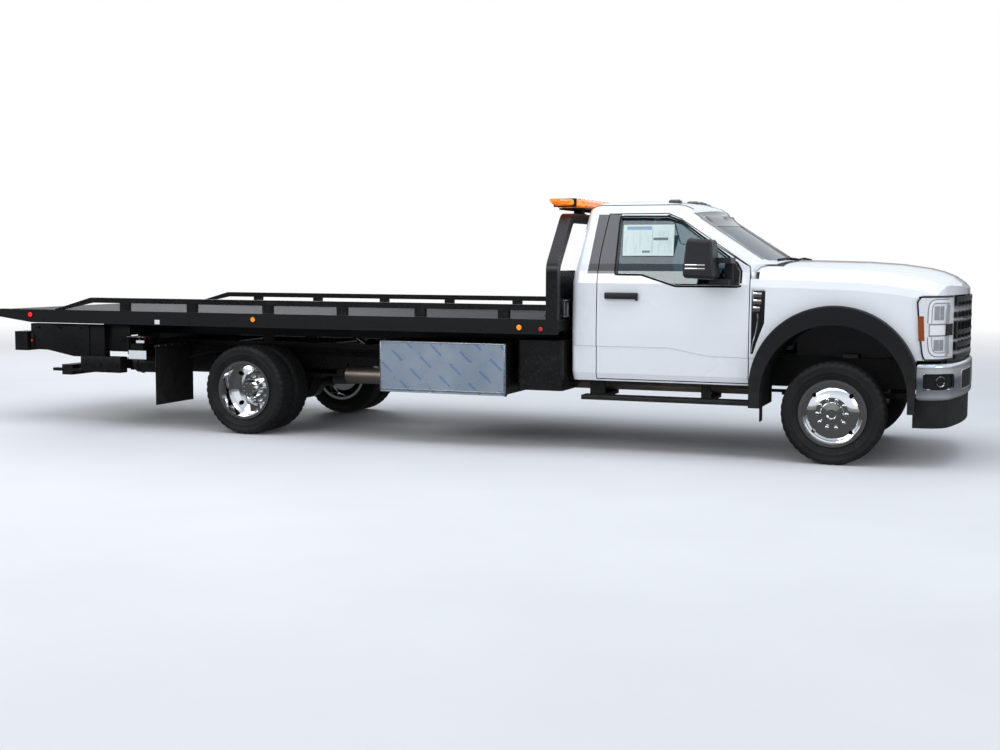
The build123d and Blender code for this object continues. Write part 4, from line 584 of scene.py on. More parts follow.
def tyre_skin(end, side, centres):
    """A tyre of the node's own form with ribs, shoulder blocks and sidewall rings."""
    profile = [(r, -y, k) for r, y, k in TYRE_HALF] + [(r, y, k) for r, y, k in reversed(TYRE_HALF)]
    profile += [(258, 84, 0), (258, -84, 0)]
    kit = Kit()
    for cx, cy in centres:
        loops = []
        for i, (c, n) in enumerate(circle(252)):
            radii = [(r - tyre_cut(i, r, y, kind), y) for r, y, kind in profile]
            loops.append(kit.loop(at(cx + r * c, cy + y, WHEEL_Z + r * n) for r, y in radii))
        loft(kit.bm, loops, True)
    kit.make(f"tread_{end}_{side}", "tyre", "tyre", f"wheel_{end}_{side}", 32.0, f"tyre_{end}_{side}")


for side, sign in SIDES:
    tyre_skin("front", side, ((0, sign * 950),))
    tyre_skin("rear", side, ((REAR_AXLE, sign * 1076), (REAR_AXLE, sign * 804)))

# Rear wheel nuts, hub bolts and valve stems
for side, sign in SIDES:
    nuts = Kit()
    for c, n in circle(10, 112.5):
        x, z = REAR_AXLE + c, WHEEL_Z + n
        nuts.nut((x, sign * 955, z), (0, sign, 0), 33, 24)
        nuts.rod((x, sign * 978, z), (x, sign * 990, z), 8, 12, bevel=1.5)
    for i in range(8):
        t = 2 * math.pi * (i + 0.5) / 8
        nuts.nut((REAR_AXLE + 52 * math.cos(t), sign * 1094, WHEEL_Z + 52 * math.sin(t)), (0, sign, 0), 18, 8)
    nuts.rod((REAR_AXLE + 190, sign * 985, WHEEL_Z + 60), (REAR_AXLE + 200, sign * 1060, WHEEL_Z + 64), 5, 10, bevel=1)
    nuts.make("wheel_nuts_rear_" + side, "steel", "chrome", "wheel_rear_" + side)


# Front lamps, laid on the wrapped front of the truck

FRONT_START = 599


class Front:
    """One side of a bowed front with a round corner. u runs along it from the truck's side to the middle."""

    def __init__(self, sign, reach, corner_reach, half_width, corner):
        self.sign, self.half_width, self.corner = sign, half_width, corner
        depth = reach - corner_reach
        self.bow = (half_width ** 2 + depth ** 2) / (2 * depth)
        self.bow_x = reach - self.bow
        self.corner_y = half_width - corner
        self.corner_x = self.bow_x + math.sqrt((self.bow - corner) ** 2 - self.corner_y ** 2)
        self.lean = math.asin(self.corner_y / (self.bow - corner))

    def point(self, u, z, out=0.0):
        run = u - (self.corner_x - FRONT_START)
        turn = (math.pi / 2 - self.lean) * self.corner
        if run < 0:
            x, y, nx, ny = FRONT_START + u, self.half_width, 0.0, 1.0
        elif run < turn:
            nx, ny = math.sin(run / self.corner), math.cos(run / self.corner)
            x, y = self.corner_x + self.corner * nx, self.corner_y + self.corner * ny
        else:
            angle = self.lean - (run - turn) / self.bow
            nx, ny = math.cos(angle), math.sin(angle)
            x, y = self.bow_x + self.bow * nx, self.bow * ny
        return at(x + nx * out, self.sign * (y + ny * out), z)

    def band(self, kit, path, width, out, depth):
        """A raised band along a path of (u, z) points, square across."""
        path = catmull(path, 10)
        loops = []
        for i, (u, z) in enumerate(path):
            before, after = path[max(i - 1, 0)], path[min(i + 1, len(path) - 1)]
            du, dz = after[0] - before[0], after[1] - before[1]
            length = math.hypot(du, dz) or 1.0
            nu, nz = -dz / length * width / 2, du / length * width / 2
            loops.append(kit.loop(self.point(u + nu * way, z + nz * way, lift) for way, lift in (
                (1, out - depth), (1, out), (-1, out), (-1, out - depth))))
        loft(kit.bm, loops)

    def patch(self, kit, u0, u1, z0, z1, out, depth, columns=22):
        """A raised rectangular plate."""
        rows = ((z0, out - depth), (z0, out), ((z0 + z1) / 2, out), (z1, out), (z1, out - depth))
        kit.sheet([[self.point(u0 + (u1 - u0) * i / columns, z, lift) for i in range(columns + 1)] for z, lift in rows])


def fronts(sign):
    """The lamps' front and the bumper's front on one side."""
    return Front(sign, 945, 760, 1016, 200), Front(sign, 975, 830, 1003, 220)


for side, sign in SIDES:
    lamp, bumper = fronts(sign)
    dark, shade, bright, arm, middle, modules, amber, fog, ring = (Kit() for _ in range(9))
    for path in (((440, 1317), (60, 1317), (34, 1308), (17, 1284), (16, 1240), (50, 920), (72, 842)),
                 ((70, 840), (250, 839), (440, 839))):
        lamp.band(dark, path, 11, 1.4, 6)
    dark.make("lamp_bezel_" + side, "plastic", "black_plastic")
    for path in (((350, 1284), (240, 1285), (150, 1284), (118, 1264), (108, 1215), (106, 1120)),
                 ((350, 878), (240, 877), (160, 880), (126, 898), (112, 940), (106, 1012))):
        lamp.band(shade, path, 36, 1.6, 6)
        lamp.band(bright, path, 22, 3.4, 8)
    lamp.band(shade, ((100, 1066), (200, 1066), (300, 1066)), 96, 2.2, 6)
    lamp.band(bright, ((106, 1066), (200, 1066), (300, 1066)), 76, 5.0, 9)
    shade.make("lamp_shades_" + side, "shade", "chrome")
    bright.make("lamp_guides_" + side, "guide", "lamp_clear")
    for path in (((318, 1262), (306, 1220), (302, 1170), (302, 1112)),
                 ((302, 1020), (302, 960), (306, 915), (318, 872))):
        lamp.band(arm, path, 78, 7.0, 12)
    arm.make("lamp_brackets_" + side, "bright", "chrome")
    lamp.patch(middle, 262, 420, 1022, 1110, 7.5, 12, 10)
    middle.make("lamp_middle_" + side, "gloss", "black_plastic")
    for z0, z1 in ((1142, 1248), (908, 992)):
        for u0 in (142, 196):
            lamp.patch(modules, u0, u0 + 48, z0, z1, 1.4, 4, 4)
    modules.make("lamp_modules_" + side, "reflector", "chrome")
    lamp.band(amber, ((38, 1172), (39, 1140), (44, 1040), (48, 984)), 44, 3.4, 8)
    amber.make("side_marker_" + side, "amber_off", "lamp_amber")
    bumper.patch(fog, 74, 330, 614, 729, -9, 4)
    fog.make("fog_panels_" + side, "gloss", "black_plastic")
    ring.tube([bumper.point(205 + u, 671 + z, -6) for u, z in circle(32, 38)], 0.005, 8, closed=True)
    frame_line = []
    for u, z, a0 in ((318, 717, 0.0), (86, 717, 0.5), (86, 626, 1.0), (318, 626, 1.5)):
        for k in range(7):
            a = math.pi * (a0 + k / 12)
            frame_line.append(bumper.point(u + 14 * math.cos(a), z + 14 * math.sin(a), 1.0))
    fine = []
    for p, q in zip(frame_line, frame_line[1:] + frame_line[:1]):
        count = max(1, int((q - p).length / 0.012))
        fine += [p.lerp(q, k / count) for k in range(count)]
    ring.tube(fine, 0.0055, 8, closed=True)
    ring.make("fog_rings_" + side, "dark_chrome", "chrome")

# Dark openings with a bright edge in the bumper's front, and dark bars on the grille's bright slats
opening, opening_rim, inserts = Kit(), Kit(), Kit()
for sign in (1, -1):
    lamp, bumper = fronts(sign)
    bumper.patch(opening, 610, 1046, 596, 736, 1.2, 4)
    for z in (618, 642, 666, 690, 714):
        bumper.band(opening, ((620, z), (840, z), (1040, z)), 8, 1.6, 5)
    rim = [(1020, 741), (830, 741), (640, 741), (606, 730), (598, 700), (598, 632), (606, 603), (640, 592), (830, 592),
           (1020, 592), (1045, 600), (1052, 625), (1052, 708), (1045, 733)]
    opening_rim.tube([bumper.point(u, z, -2.5) for u, z in catmull(rim, 8, True)], 0.0045, 8, closed=True)
    for z in (860, 952, 1048, 1150, 1300):
        lamp.band(inserts, ((470, z), (700, z), (1160, z)), 20, 18.0, 6)
opening.make("bumper_opening", "dam", "black_plastic")
opening_rim.make("bumper_opening_rim", "bright", "chrome")
inserts.make("grille_inserts", "gloss", "black_plastic")


# Seals and trims that follow the body's skin

def dense(points, step, closed=True):
    """The same outline with points at most a step apart."""
    out = []
    for (x0, z0), (x1, z1) in zip(points, points[1:] + points[:closed]):
        count = max(1, int(math.hypot(x1 - x0, z1 - z0) / step))
        out += [(x0 + (x1 - x0) * i / count, z0 + (z1 - z0) * i / count) for i in range(count)]
    return out


def offset_line(points, distance):
    """A closed outline moved to its right-hand side by a distance."""
    out = []
    for i, (x, z) in enumerate(points):
        a, b = points[i - 1], points[(i + 1) % len(points)]
        dx, dz = b[0] - a[0], b[1] - a[1]
        length = math.hypot(dx, dz) or 1.0
        out.append((x + dz / length * distance, z - dx / length * distance))
    return out


def on_skin(tree, x, z, sign, lift=0.0):
    """A point on the truck's side skin, lifted outward."""
    return drop_on(tree, at(x, sign * 1500, z), Vector((0, -sign, 0)), lift / 1000)


DOOR_EDGE = ((-1856, 1974), (-1400, 1974), (-1288, 1929), (-677, 1542), (-669, 1490), (-669, 608), (-1934, 608),
             (-1934, 1478))
WINDOW = ((-1776, 1482), (-1799, 1943), (-1395, 1939), (-1290, 1903), (-790, 1560), (-752, 1500), (-752, 1391),
          (-1270, 1391), (-1560, 1481))
for side, sign in SIDES:
    door_skin = tree_of("door_" + side)
    seal = Kit()
    points = []
    for x, z in dense(DOOR_EDGE, 30.0, False):
        near = on_skin(door_skin, min(max(x, -1915), -690), min(max(z, 625), 1955), sign)
        y = near.y if near is not None else sign * 1.0
        points.append(at(x, (y - sign * 0.012) * 1000, z))
    seal.tube(points, 0.0045, 6)
    seal.make("door_seal_" + side, "rubber", "flap_rubber")

# Side window surrounds
for side, sign in SIDES:
    door_skin = tree_of("door_" + side)
    trim = Kit()
    line = dense(WINDOW, 22.0)
    loops = []
    turned = 1 if sum((b[0] - a[0]) * (b[1] + a[1]) for a, b in zip(line, line[1:] + line[:1])) > 0 else -1
    for (xa, za), (xb, zb) in zip(offset_line(line, -turned * 3), offset_line(line, -turned * 19)):
        a, b = on_skin(door_skin, xa, za, sign, 1.6), on_skin(door_skin, xb, zb, sign, 1.6)
        if a is None and b is None:
            continue
        a = a or at(xa, b.y * 1000, za)
        b = b or at(xb, a.y * 1000, zb)
        back = Vector((0, -sign * 0.009, 0))
        loops.append(trim.loop((a + back, a, b, b + back)))
    loft(trim.bm, loops, True)
    trim.make("window_surround_" + side, "rubber", "black_plastic", "door_" + side)


# Fender vents: gloss black floor, a mesh, bright blank blades and a bright strip
VENT_FRONT = ((-634, 846), (-606, 940), (-548, 1096), (-543, 1366))


def vent_edge(z):
    """X of the vent recess's front edge at a height."""
    for (x0, z0), (x1, z1) in zip(VENT_FRONT, VENT_FRONT[1:]):
        if z <= z1:
            return x0 + (x1 - x0) * max(0.0, (z - z0) / (z1 - z0))
    return VENT_FRONT[-1][0]


for side, sign in SIDES:
    y = sign * 999.5
    floor, blades = Kit(), Kit()
    floor.sheet([[at(x, y, z) for x in (-652, vent_edge(z) - 1)] for z in range(850, 1366, 20)], 0.0012)
    for x in range(-646, -550, 12):
        low = next(z for z in range(850, 1200, 4) if vent_edge(z) - 6 > x)
        floor.slab((x, y - 2 + sign * 2, low), (x + 4, y + 2 + sign * 2, 1356), 1.0)
    floor.make("vent_floor_" + side, "gloss", "black_plastic")
    for z, x1 in ((1318, -572), (1262, -574), (1206, -584)):
        blades.slab((-640, y + sign * 4, z - 19), (x1, y + sign * 13, z + 19), 7.0)
    blades.slab((-646, y + sign * 3, 1180), (-634, y + sign * 9, 1345), 4.0)
    strip = catmull([(-604, 1170), (-602, 1100), (-616, 1010), (-636, 930), (-645, 862)], 6)
    blades.tube([at(x, y + sign * 6, z) for x, z in strip], 0.007, 6)
    blades.make("vent_blades_" + side, "chrome", "chrome")

# Wipers
wipers = Kit()
for y0, y1 in ((-640, -40), (110, 720)):
    points = []
    for i in range(9):
        t = i / 8
        y = y0 + (y1 - y0) * t
        bow = -600 + 150 * math.sqrt(max(0.0, 1 - (y / 900) ** 2))
        points.append(at(bow - 18 + 34 * t, y, 1598 + 10 * math.sin(math.pi * t)))
    wipers.tube(points, 0.007, 6)
    wipers.tube([p + Vector((-0.004, 0, -0.012)) for p in points], 0.004, 5)
    wipers.tube([points[4], points[4] + Vector((0.05, 0.09, -0.012)), at(-436, (y0 + y1) / 2 + 170, 1592)], 0.009, 6)
wipers.make("wipers", "rubber", "black_plastic")

# Dark border round the windscreen, laid on the shell and the glass
screen_skin = tree_of("cab_shell", "cab_glass")
SCREEN_WAY = Vector((-0.54, 0.0, -0.84)).normalized()


def on_screen(y, z, lift):
    """A point on the windscreen's plane or the shell beside it."""
    x = -543 - (z - 1600) * 1.54 - abs(y) ** 2 * 1.6e-4
    return drop_on(screen_skin, at(x, y, z) - SCREEN_WAY * 0.25, SCREEN_WAY, lift)


border = Kit()
flat = 0.0025
rows = []
for z, lift in ((1880, 0.002), (1895, 0.004), (1910, 0.009), (1922, 0.014), (1934, 0.019), (1950, 0.003),
                (1966, 0.0025), (1978, 0.002)):
    rows.append([on_screen(-690 + 1380 * i / 48, z, lift if abs(i - 24) < 21 or z > 1940 else flat) for i in range(49)])
border.sheet([row for row in rows if None not in row], 0.0012)
for sign in (1, -1):
    rows = []
    for i in range(19):
        z = 1590 + (1936 - 1590) * i / 18
        inner, outer = 728 - (z - 1590) * 0.245, 776 - (z - 1590) * 0.175
        rows.append([on_screen(sign * (inner + (outer - inner) * k / 4), z, flat) for k in range(5)])
    border.sheet([row for row in rows if None not in row], 0.0012)
border.make("windscreen_border", "gloss", "black_plastic")

# Mirror glass and signal strips
for side, sign in SIDES:
    strip, red, glass = Kit(), Kit(), Kit()
    for z in (1540, 1512):
        strip.slab((-1118, sign * 1322, z), (-958, sign * 1336, z + 18), 4)
    strip.make("mirror_trim_" + side, "chrome", "chrome", "door_" + side)
    red.slab((-1110, sign * 1322, 1531), (-966, sign * 1335, 1539), 2)
    red.make("mirror_signal_" + side, "red", "lamp_red", "door_" + side)
    glass.sheet([[at(-1143.5 + (z - 1452) * 34 / 312, sign * y, z) for y in (1112, 1180, 1248, 1308)]
                 for z in (1486, 1560, 1640, 1732)], 0.002)
    glass.make("mirror_glass_" + side, "dark_chrome", "chrome", "door_" + side)

# A blank paper sheet inside the right-hand window
paper = Kit()
paper.sheet([[at(-1750 + 430 * i / 6, -858 - (1880 - z) * 0.13, z) for i in range(7)] for z in (1625, 1750, 1880)],
            0.0008)
paper.make("window_paper", "paper", "glass", "door_right")

# Lock barrels, and black handle covers made taller than the handles to take in the painted shade of their recesses
for side, sign in SIDES:
    lock, handle = Kit(), Kit()
    lock.rod((-1590, sign * 1030, 1268), (-1590, sign * 1012, 1268), 11, 18, bevel=1.5)
    lock.make("door_lock_" + side, "dark_chrome", "chrome", "door_" + side)
    # The cover is the black handle, and where it reaches beyond the handle it is painted shade of the recess
    handle.slab((-1860, sign * 1005, 1270), (-1580, sign * 1047, 1324), 11)
    handle.make("door_handle_and_shade_" + side, "mirror", "black_plastic", "door_" + side)

# Toolbox doors: bright edge frame and screws
for side, sign in SIDES:
    edge, screws = Kit(), Kit()
    y0, y1 = sign * 1187, sign * 1191
    x0, x1, z0, z1 = -3834, -2676, 468, 884
    for xa, za, xb, zb in ((x0, z0, x1, z0 + 9), (x0, z1 - 9, x1, z1), (x0, z0, x0 + 9, z1), (x1 - 9, z0, x1, z1)):
        edge.slab((xa, y0, za), (xb, y1, zb), 1.2)
    edge.make("toolbox_frame_" + side, "aluminium", "toolbox_aluminium", "toolbox_door_" + side)
    for x in (-3812, -3258, -2698):
        for z in (486, 866):
            screws.rod((x, sign * 1186, z), (x, sign * 1193, z), 6, 12, bevel=1.5)
    screws.make("toolbox_screws_" + side, "steel", "toolbox_aluminium", "toolbox_door_" + side)

# Lamp bezels, red markers and blank labels on the bed
for side, sign in SIDES:
    bezel, red, label = Kit(), Kit(), Kit()
    for x, z in ((-7548, 1048), (-5082, 1048), (-2536, 1030)):
        bezel.tube([at(x + c, sign * 1221.5, z + n) for c, n in circle(24, 25)], 0.0045, 6, closed=True)
    bezel.make("marker_bezels_" + side, "rubber", "black_plastic", "bed")
    red.rod((-2350, sign * 1216, 1018), (-2350, sign * 1226.5, 1018), 18, 24, bevel=4)
    red.make("rear_markers_" + side, "red", "lamp_red", "bed")
    label.slab((-6132, sign * 1218.6, 984), (-6078, sign * 1220, 1024), 0.4)
    label.make("bed_label_" + side, "label", "lamp_clear", "bed")

# Bed: weld beads at the stakes and bolt heads along the sides
bolts, welds = Kit(), Kit()
for side, sign in SIDES:
    for x in (-6478, -5742, -4947, -4200, -3450, -2685):
        for dx in (-48, 48):
            welds.tube([at(x + dx, sign * y, 1100) for y in (1160, 1180, 1200)], 0.004, 6)
        welds.tube([at(x + d, sign * 1208, 1100.5) for d in range(-46, 47, 23)], 0.004, 6)
    for x in range(-7400, -2300, 410):
        bolts.nut((x, sign * 1219, 1004), (0, sign, 0), 17, 7)
bolts.make("bed_bolts", "bed", "bed_black", "bed")
welds.make("bed_welds", "bed", "bed_black", "bed")

# Control station: bright cover, knobs and blank labels
cover, knobs, dark_knobs, labels = Kit(), Kit(), Kit(), Kit()
cover.slab((-6500, -1150, 851), (-6300, -880, 858), 2)
cover.make("control_cover", "aluminium", "toolbox_aluminium")
for i, y in enumerate(range(-1110, -900, 40)):
    (dark_knobs if i % 2 else knobs).rod((-6380, y, 822), (-6380, y, 845), 13, 16, 9, 3)
knobs.make("control_knobs_red", "knob_red", "lamp_red")
dark_knobs.make("control_knobs_black", "plastic", "black_plastic")
labels.slab((-6480, -1146, 648), (-6285, -1142, 728), 1)
labels.slab((-6390, -1152, 800), (-6302, -1144, 824), 2)
labels.make("control_label", "label", "lamp_clear")

# Mud flap fasteners and the small flaps behind the front wheels
for side, sign in SIDES:
    bolts, flap = Kit(), Kit()
    for y in range(640, 1181, 108):
        bolts.nut((-6160, sign * y, 780), (-1, 0, 0), 16, 6)
        bolts.nut((-6120, sign * y, 780), (1, 0, 0), 16, 6)
    bolts.make("flap_bolts_" + side, "steel", "bare_steel")
    flap.slab((-563, sign * 985, 318), (-553, sign * 1080, 470), 3)
    flap.make("front_flap_" + side, "rubber", "flap_rubber")

# Leaf spring bolts, axle plates and brake chambers
under, chambers = Kit(), Kit()
for sign in (1, -1):
    for x0, y0 in ((0, sign * 432), (REAR_AXLE, sign * 528)):
        for x in (x0 - 70, x0 + 70):
            for y in (y0 - 48, y0 + 48):
                under.rod((x, y, 330), (x, y, 520), 8, 10, bevel=1.5)
                under.nut((x, y, 345), (0, 0, -1), 26, 14)
        under.slab((x0 - 95, y0 - 62, 332), (x0 + 95, y0 + 62, 346), 3)
    chambers.rod((-5400, sign * 360, 500), (-5250, sign * 360, 500), 82, 28, bevel=14)
    chambers.rod((-5180, sign * 360, 500), (-5250, sign * 360, 500), 20, 16, bevel=2)
under.make("spring_bolts", "frame", "frame_black")
chambers.make("brake_chambers", "frame", "frame_black")

# Hoses and wiring along the frame
lines = Kit()
for sign, z, y in ((-1, 742, 478), (-1, 716, 480), (-1, 690, 476), (1, 736, 478), (1, 700, 480)):
    lines.tube([at(x, sign * y + random.uniform(-3, 3), z + 7 * math.sin(x / 210.0 + z))
                for x in range(-6700, -2300, 140)], 0.011, 8)
for y, x in ((-1010, -6400), (-970, -6395), (-930, -6405)):
    points = catmull([(x, y, 705), (x + 20, y + 60, 640), (x + 150, y + 250, 610), (x + 420, -560, 690),
                      (x + 800, -484, 712)])
    lines.tube([at(*p) for p in points], 0.009, 8)
lines.make("frame_hoses", "rubber", "flap_rubber")

# Winch rope laid in turns on the drum
TURNS, STEPS = 31, 24
rope = Kit()
rope.tube([at(-2500 + c, -165 + 11 * i / STEPS, 1221 + n) for i, (c, n) in enumerate(circle(STEPS, 63) * TURNS)],
          0.0053, 6)
rope.make("winch_rope", "rope", "bare_steel", "winch_drum")

# Light bar: a ribbed lens with swept tips, glowing on the near part and darkened on the far part as painted shade, on a
# black base and two feet.
# Each row is the distance from the middle, then the section's ends along the truck and in height.
BAR = ((0, -2386, -2126, 2030, 2102), (640, -2386, -2130, 2030, 2102), (790, -2386, -2180, 2040, 2102),
       (860, -2386, -2240, 2056, 2102), (915, -2384, -2290, 2072, 2100))


def bar_section(y):
    """The rounded section of the light bar at a place across the truck."""
    low, high = next(pair for pair in zip(BAR, BAR[1:]) if abs(y) <= pair[1][0])
    t = (abs(y) - low[0]) / (high[0] - low[0])
    x0, x1, z0, z1 = (a + (b - a) * t for a, b in zip(low[1:], high[1:]))
    return [at((x0 + x1) / 2 + (x1 - x0) / 2 * math.copysign(abs(c) ** 0.38, c), y,
               (z0 + z1) / 2 + (z1 - z0) / 2 * math.copysign(abs(n) ** 0.55, n)) for c, n in circle(28)]


def bar_piece(y0, y1, steps):
    kit = Kit()
    loft(kit.bm, [kit.loop(bar_section(y0 + (y1 - y0) * i / steps)) for i in range(steps + 1)])
    return kit


bar_piece(-915, 300, 86).make("beacon_lens", "beacon", "lamp_amber", "bed", instead_of="light_bar")
# The far part of the light bar is the same amber lens, darkened as painted shade
bar_piece(302, 915, 44).make("beacon_far_lens", "amber_painted_shade", "lamp_amber", "bed")
base, fitting = Kit(), Kit()
for y in range(-812, 813, 116):
    base.slab((-2382, y - 4, 2034), (-2178, y + 4, 2105.9), 2)
base.slab((-2372, -700, 2014), (-2142, 700, 2031), 6)
for y in (-500, 500):
    base.slab((-2292, y - 42, 1981), (-2216, y + 42, 2018), 5)
    base.slab((-2306, y - 58, 1980.5), (-2206, y + 58, 1986), 2)
base.make("beacon_base", "plastic", "black_plastic", "bed")

# Bright bracket and tube on the headboard's front face
fitting.slab((-2250, -938, 1244), (-2214, -846, 1256), 3)
fitting.slab((-2250, -924, 1120), (-2240, -896, 1246), 3)
fitting.rod((-2234, -868, 1118), (-2234, -868, 1232), 12, 20, bevel=3)
fitting.slab((-2250, -940, 1108), (-2216, -850, 1120), 3)
fitting.make("headboard_bracket", "bright", "bare_steel", "bed")

# Tail arms' outer boxes, stabiliser legs and the tank behind the mud flap
for side, sign in SIDES:
    box, red, tank = Kit(), Kit(), Kit()
    arm = ((-7700, 702), (-7700, 955), (-7010, 955), (-7010, 645), (-7200, 645), (-7500, 700))
    leg = ((-7110, 520), (-7070, 500), (-6650, 500), (-6650, 652), (-7110, 652))
    box.prism(arm, sign * 948, sign * 1040)
    box.prism(leg, sign * 940, sign * 1048)
    box.slab((-7700, sign * 940, 720), (-7660, sign * 1050, 860), 4)
    box.slab((-7020, sign * 950, 700), (-6590, sign * 968, 955), 3)
    for x in (-7600, -7350, -7100):
        box.nut((x, sign * 1040, 915), (0, sign, 0), 24, 12)
    box.rod((-6900, sign * 620, 770), (-6900, sign * 1000, 770), 34, 24, bevel=4)
    box.slab((-7030, sign * 945, 640), (-6840, sign * 1030, 950), 6)
    for x in (-7060, -6880, -6700):
        box.nut((x, sign * 1048, 576), (0, sign, 0), 26, 12)
    box.make("tail_boxes_" + side, "bed", "bed_black", "tilt")
    # The red reflector uses the glowing red lamp lens, so it glows as painted light though it is no lamp
    red.rod((-7682, sign * 1049, 790), (-7682, sign * 1055, 790), 12, 20, bevel=2)
    red.make("tail_reflector_" + side, "red", "lamp_red", "tilt")
    tank.rod((-6545, sign * 930, 600), (-6185, sign * 930, 600), 92, 36, bevel=26)
    for x in (-6470, -6260):
        tank.tube([at(x, sign * 930 + c, 600 + n) for c, n in circle(36, 95)], 0.006, 6, closed=True)
        tank.slab((x - 22, sign * 480, 690), (x + 22, sign * 960, 702), 3)
    tank.make("air_tank_" + side, "frame", "frame_black")

# Drip channels on the roof
roof_skin = tree_of("cab_shell")
for side, sign in SIDES:
    drip = Kit()
    hits = [drop_on(roof_skin, at(-2070 + i * 22, sign * 655, 2300), Vector((0, 0, -1))) for i in range(40)]
    drip.tube([hit + Vector((0, 0, 0.001)) for hit in hits if hit is not None], 0.004, 6)
    drip.make("drip_rail_" + side, "rubber", "black_plastic")

# Seats: stuffed cushions on plastic bases

def pad_blank(name, size, pinch=0.05):
    """A rounded cushion blank about the origin. Its sides pull in between the corners."""
    bm = bmesh.new()
    bmesh.ops.create_cube(bm, size=2.0)
    bmesh.ops.subdivide_edges(bm, edges=bm.edges[:], cuts=11, use_grid_fill=True)
    for v in bm.verts:
        p = v.co / sum(abs(c) ** 5 for c in v.co) ** 0.2
        waist = 1 - pinch * (1 - p.x * p.x) * (1 - p.z * p.z)
        v.co = Vector((p.x * size[0] / 2, p.y * size[1] / 2 * waist, p.z * size[2] / 2))
    return formed(name, bm)


def settled(piece):
    """Puts the piece's modifiers into its mesh."""
    ready = piece.evaluated_get(bpy.context.evaluated_depsgraph_get())
    mesh = bpy.data.meshes.new_from_object(ready)
    piece.modifiers.clear()
    piece.data = mesh


def stuffed(pieces, cap):
    """Swells the cushions by cloth pressure, held to a largest movement."""
    for piece in pieces:
        remesh = piece.modifiers.new("even", "REMESH")
        remesh.mode = "VOXEL"
        remesh.voxel_size = 0.011
    bpy.context.view_layer.update()
    for piece in pieces:
        settled(piece)
    starts = []
    for piece in pieces:
        starts.append([v.co.copy() for v in piece.data.vertices])
        fabric = piece.modifiers.new("fabric", "CLOTH")
        fabric.settings.quality = 5
        fabric.settings.use_pressure = True
        fabric.settings.uniform_pressure_force = 4.0
        fabric.settings.effector_weights.gravity = 0.0
    for number in range(1, 21):
        scene.frame_set(number)
    for piece, start in zip(pieces, starts):
        settled(piece)
        for v, home in zip(piece.data.vertices, start):
            step = v.co - home
            if step.length > cap:
                v.co = home + step.normalized() * cap
    scene.frame_set(1)


def sewn(piece, seams, face, width=0.01, depth=0.006):
    """Presses sewn channels into the face that looks along +face. A seam is an axis and a place on it."""
    for v in piece.data.vertices:
        if v.co[face] < 0:
            continue
        for axis, place, across, start, end in seams:
            gap = abs(v.co[axis] - place)
            if gap < width and start < v.co[across] < end:
                v.co[face] -= depth * (1 - (gap / width) ** 2)


# Each pad: name, size, middle (truck mm), lean, sewn face, seams as (axis, place, other axis, from, to)
PADS = []
for side, sign in SIDES:
    y = sign * 430
    PADS += [
        ("seat_pad_" + side, (0.47, 0.505, 0.142), (-1550, y, 1156), 0.0, 2,
         [(1, 0.15, 0, -1, 1), (1, -0.15, 0, -1, 1)] + [(0, place, 1, -0.15, 0.15) for place in (0.02, 0.13, -0.09)]),
        ("back_pad_" + side, (0.125, 0.485, 0.64), (-1790, y, 1500), -14.0, 0,
         [(1, 0.145, 2, -1, 1), (1, -0.145, 2, -1, 1)]
         + [(2, place, 1, -0.145, 0.145) for place in (0.12, -0.04, -0.2)]),
        ("head_pad_" + side, (0.088, 0.262, 0.172), (-1900, y, 1880), -14.0, 0, [(2, -0.045, 1, -1, 1)])]

pads = [pad_blank(name, size) for name, size, *_ in PADS]
stuffed(pads, 0.014)
for piece, (name, size, middle, lean, face, seams) in zip(pads, PADS):
    sewn(piece, seams, face)
    piece.data.transform(Matrix.Translation(at(*middle)) @ Matrix.Rotation(math.radians(lean), 4, "Y"))
    smooth = piece.modifiers.new("smooth", "SUBSURF")
    smooth.levels = smooth.render_levels = 1
    settled(piece)
    piece.data.materials.clear()
    piece.data.materials.append(M["cloth"])
    piece.data.shade_smooth()
    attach(piece, "chassis")

# Seat bases, headrest posts and the console between the seats
base, cabin, screen = Kit(), Kit(), Kit()
for y in (430, -430):
    base.slab((-1750, y - 205, 880), (-1360, y + 205, 1090), 18)
    for side_y in (y - 268, y + 262):
        base.slab((-1800, side_y - 4, 1070), (-1400, side_y + 10, 1150), 7)
    for dy in (-70, 70):
        base.rod((-1872, y + dy, 1790), (-1892, y + dy, 1850), 6, 12, bevel=1)
base.slab((-1700, -150, 880), (-1310, 150, 1215), 26)
base.slab((-1700, -146, 1218), (-1470, 146, 1262), 16)
for y in (-62, 62):
    base.tube([at(-1390 + c, y + n, 1217) for c, n in circle(28, 42)], 0.005, 8, closed=True)
    base.slab((-1418, y - 26, 1212), (-1362, y + 26, 1217.5), 2)
base.make("seat_bases", "cabin", "cabin_plastic", instead_of="seats")

# Dashboard: gauge hood, vents and screen
cabin.slab((-1010, 260, 1428), (-880, 600, 1476), 20)
cabin.slab((-1012, -130, 1300), (-1000, 110, 1418), 10)
for y in (-720, -330, 150, 720):
    for z in (1352, 1366, 1380):
        cabin.slab((-1030, y - 60, z), (-1018, y + 60, z + 5), 2)
cabin.make("dash_details", "cabin", "cabin_plastic")
screen.slab((-1016, -112, 1312), (-1011, 92, 1406), 3)
screen.make("dash_screen", "gloss", "cabin_plastic")

# Camera of the photograph
camera_data = bpy.data.cameras.new("camera")
camera_data.sensor_width = 36.0
camera_data.lens = 49.23
camera = placed("camera", camera_data)
camera.matrix_world = Matrix.Translation((4.9772, -11.8424, 1.6))
for axis, degrees in (("Z", 21.203), ("X", 90 - 4.874), ("Z", 0.179)):
    camera.matrix_world @= Matrix.Rotation(math.radians(degrees), 4, axis)
scene.camera = camera


# Floor, light and surroundings

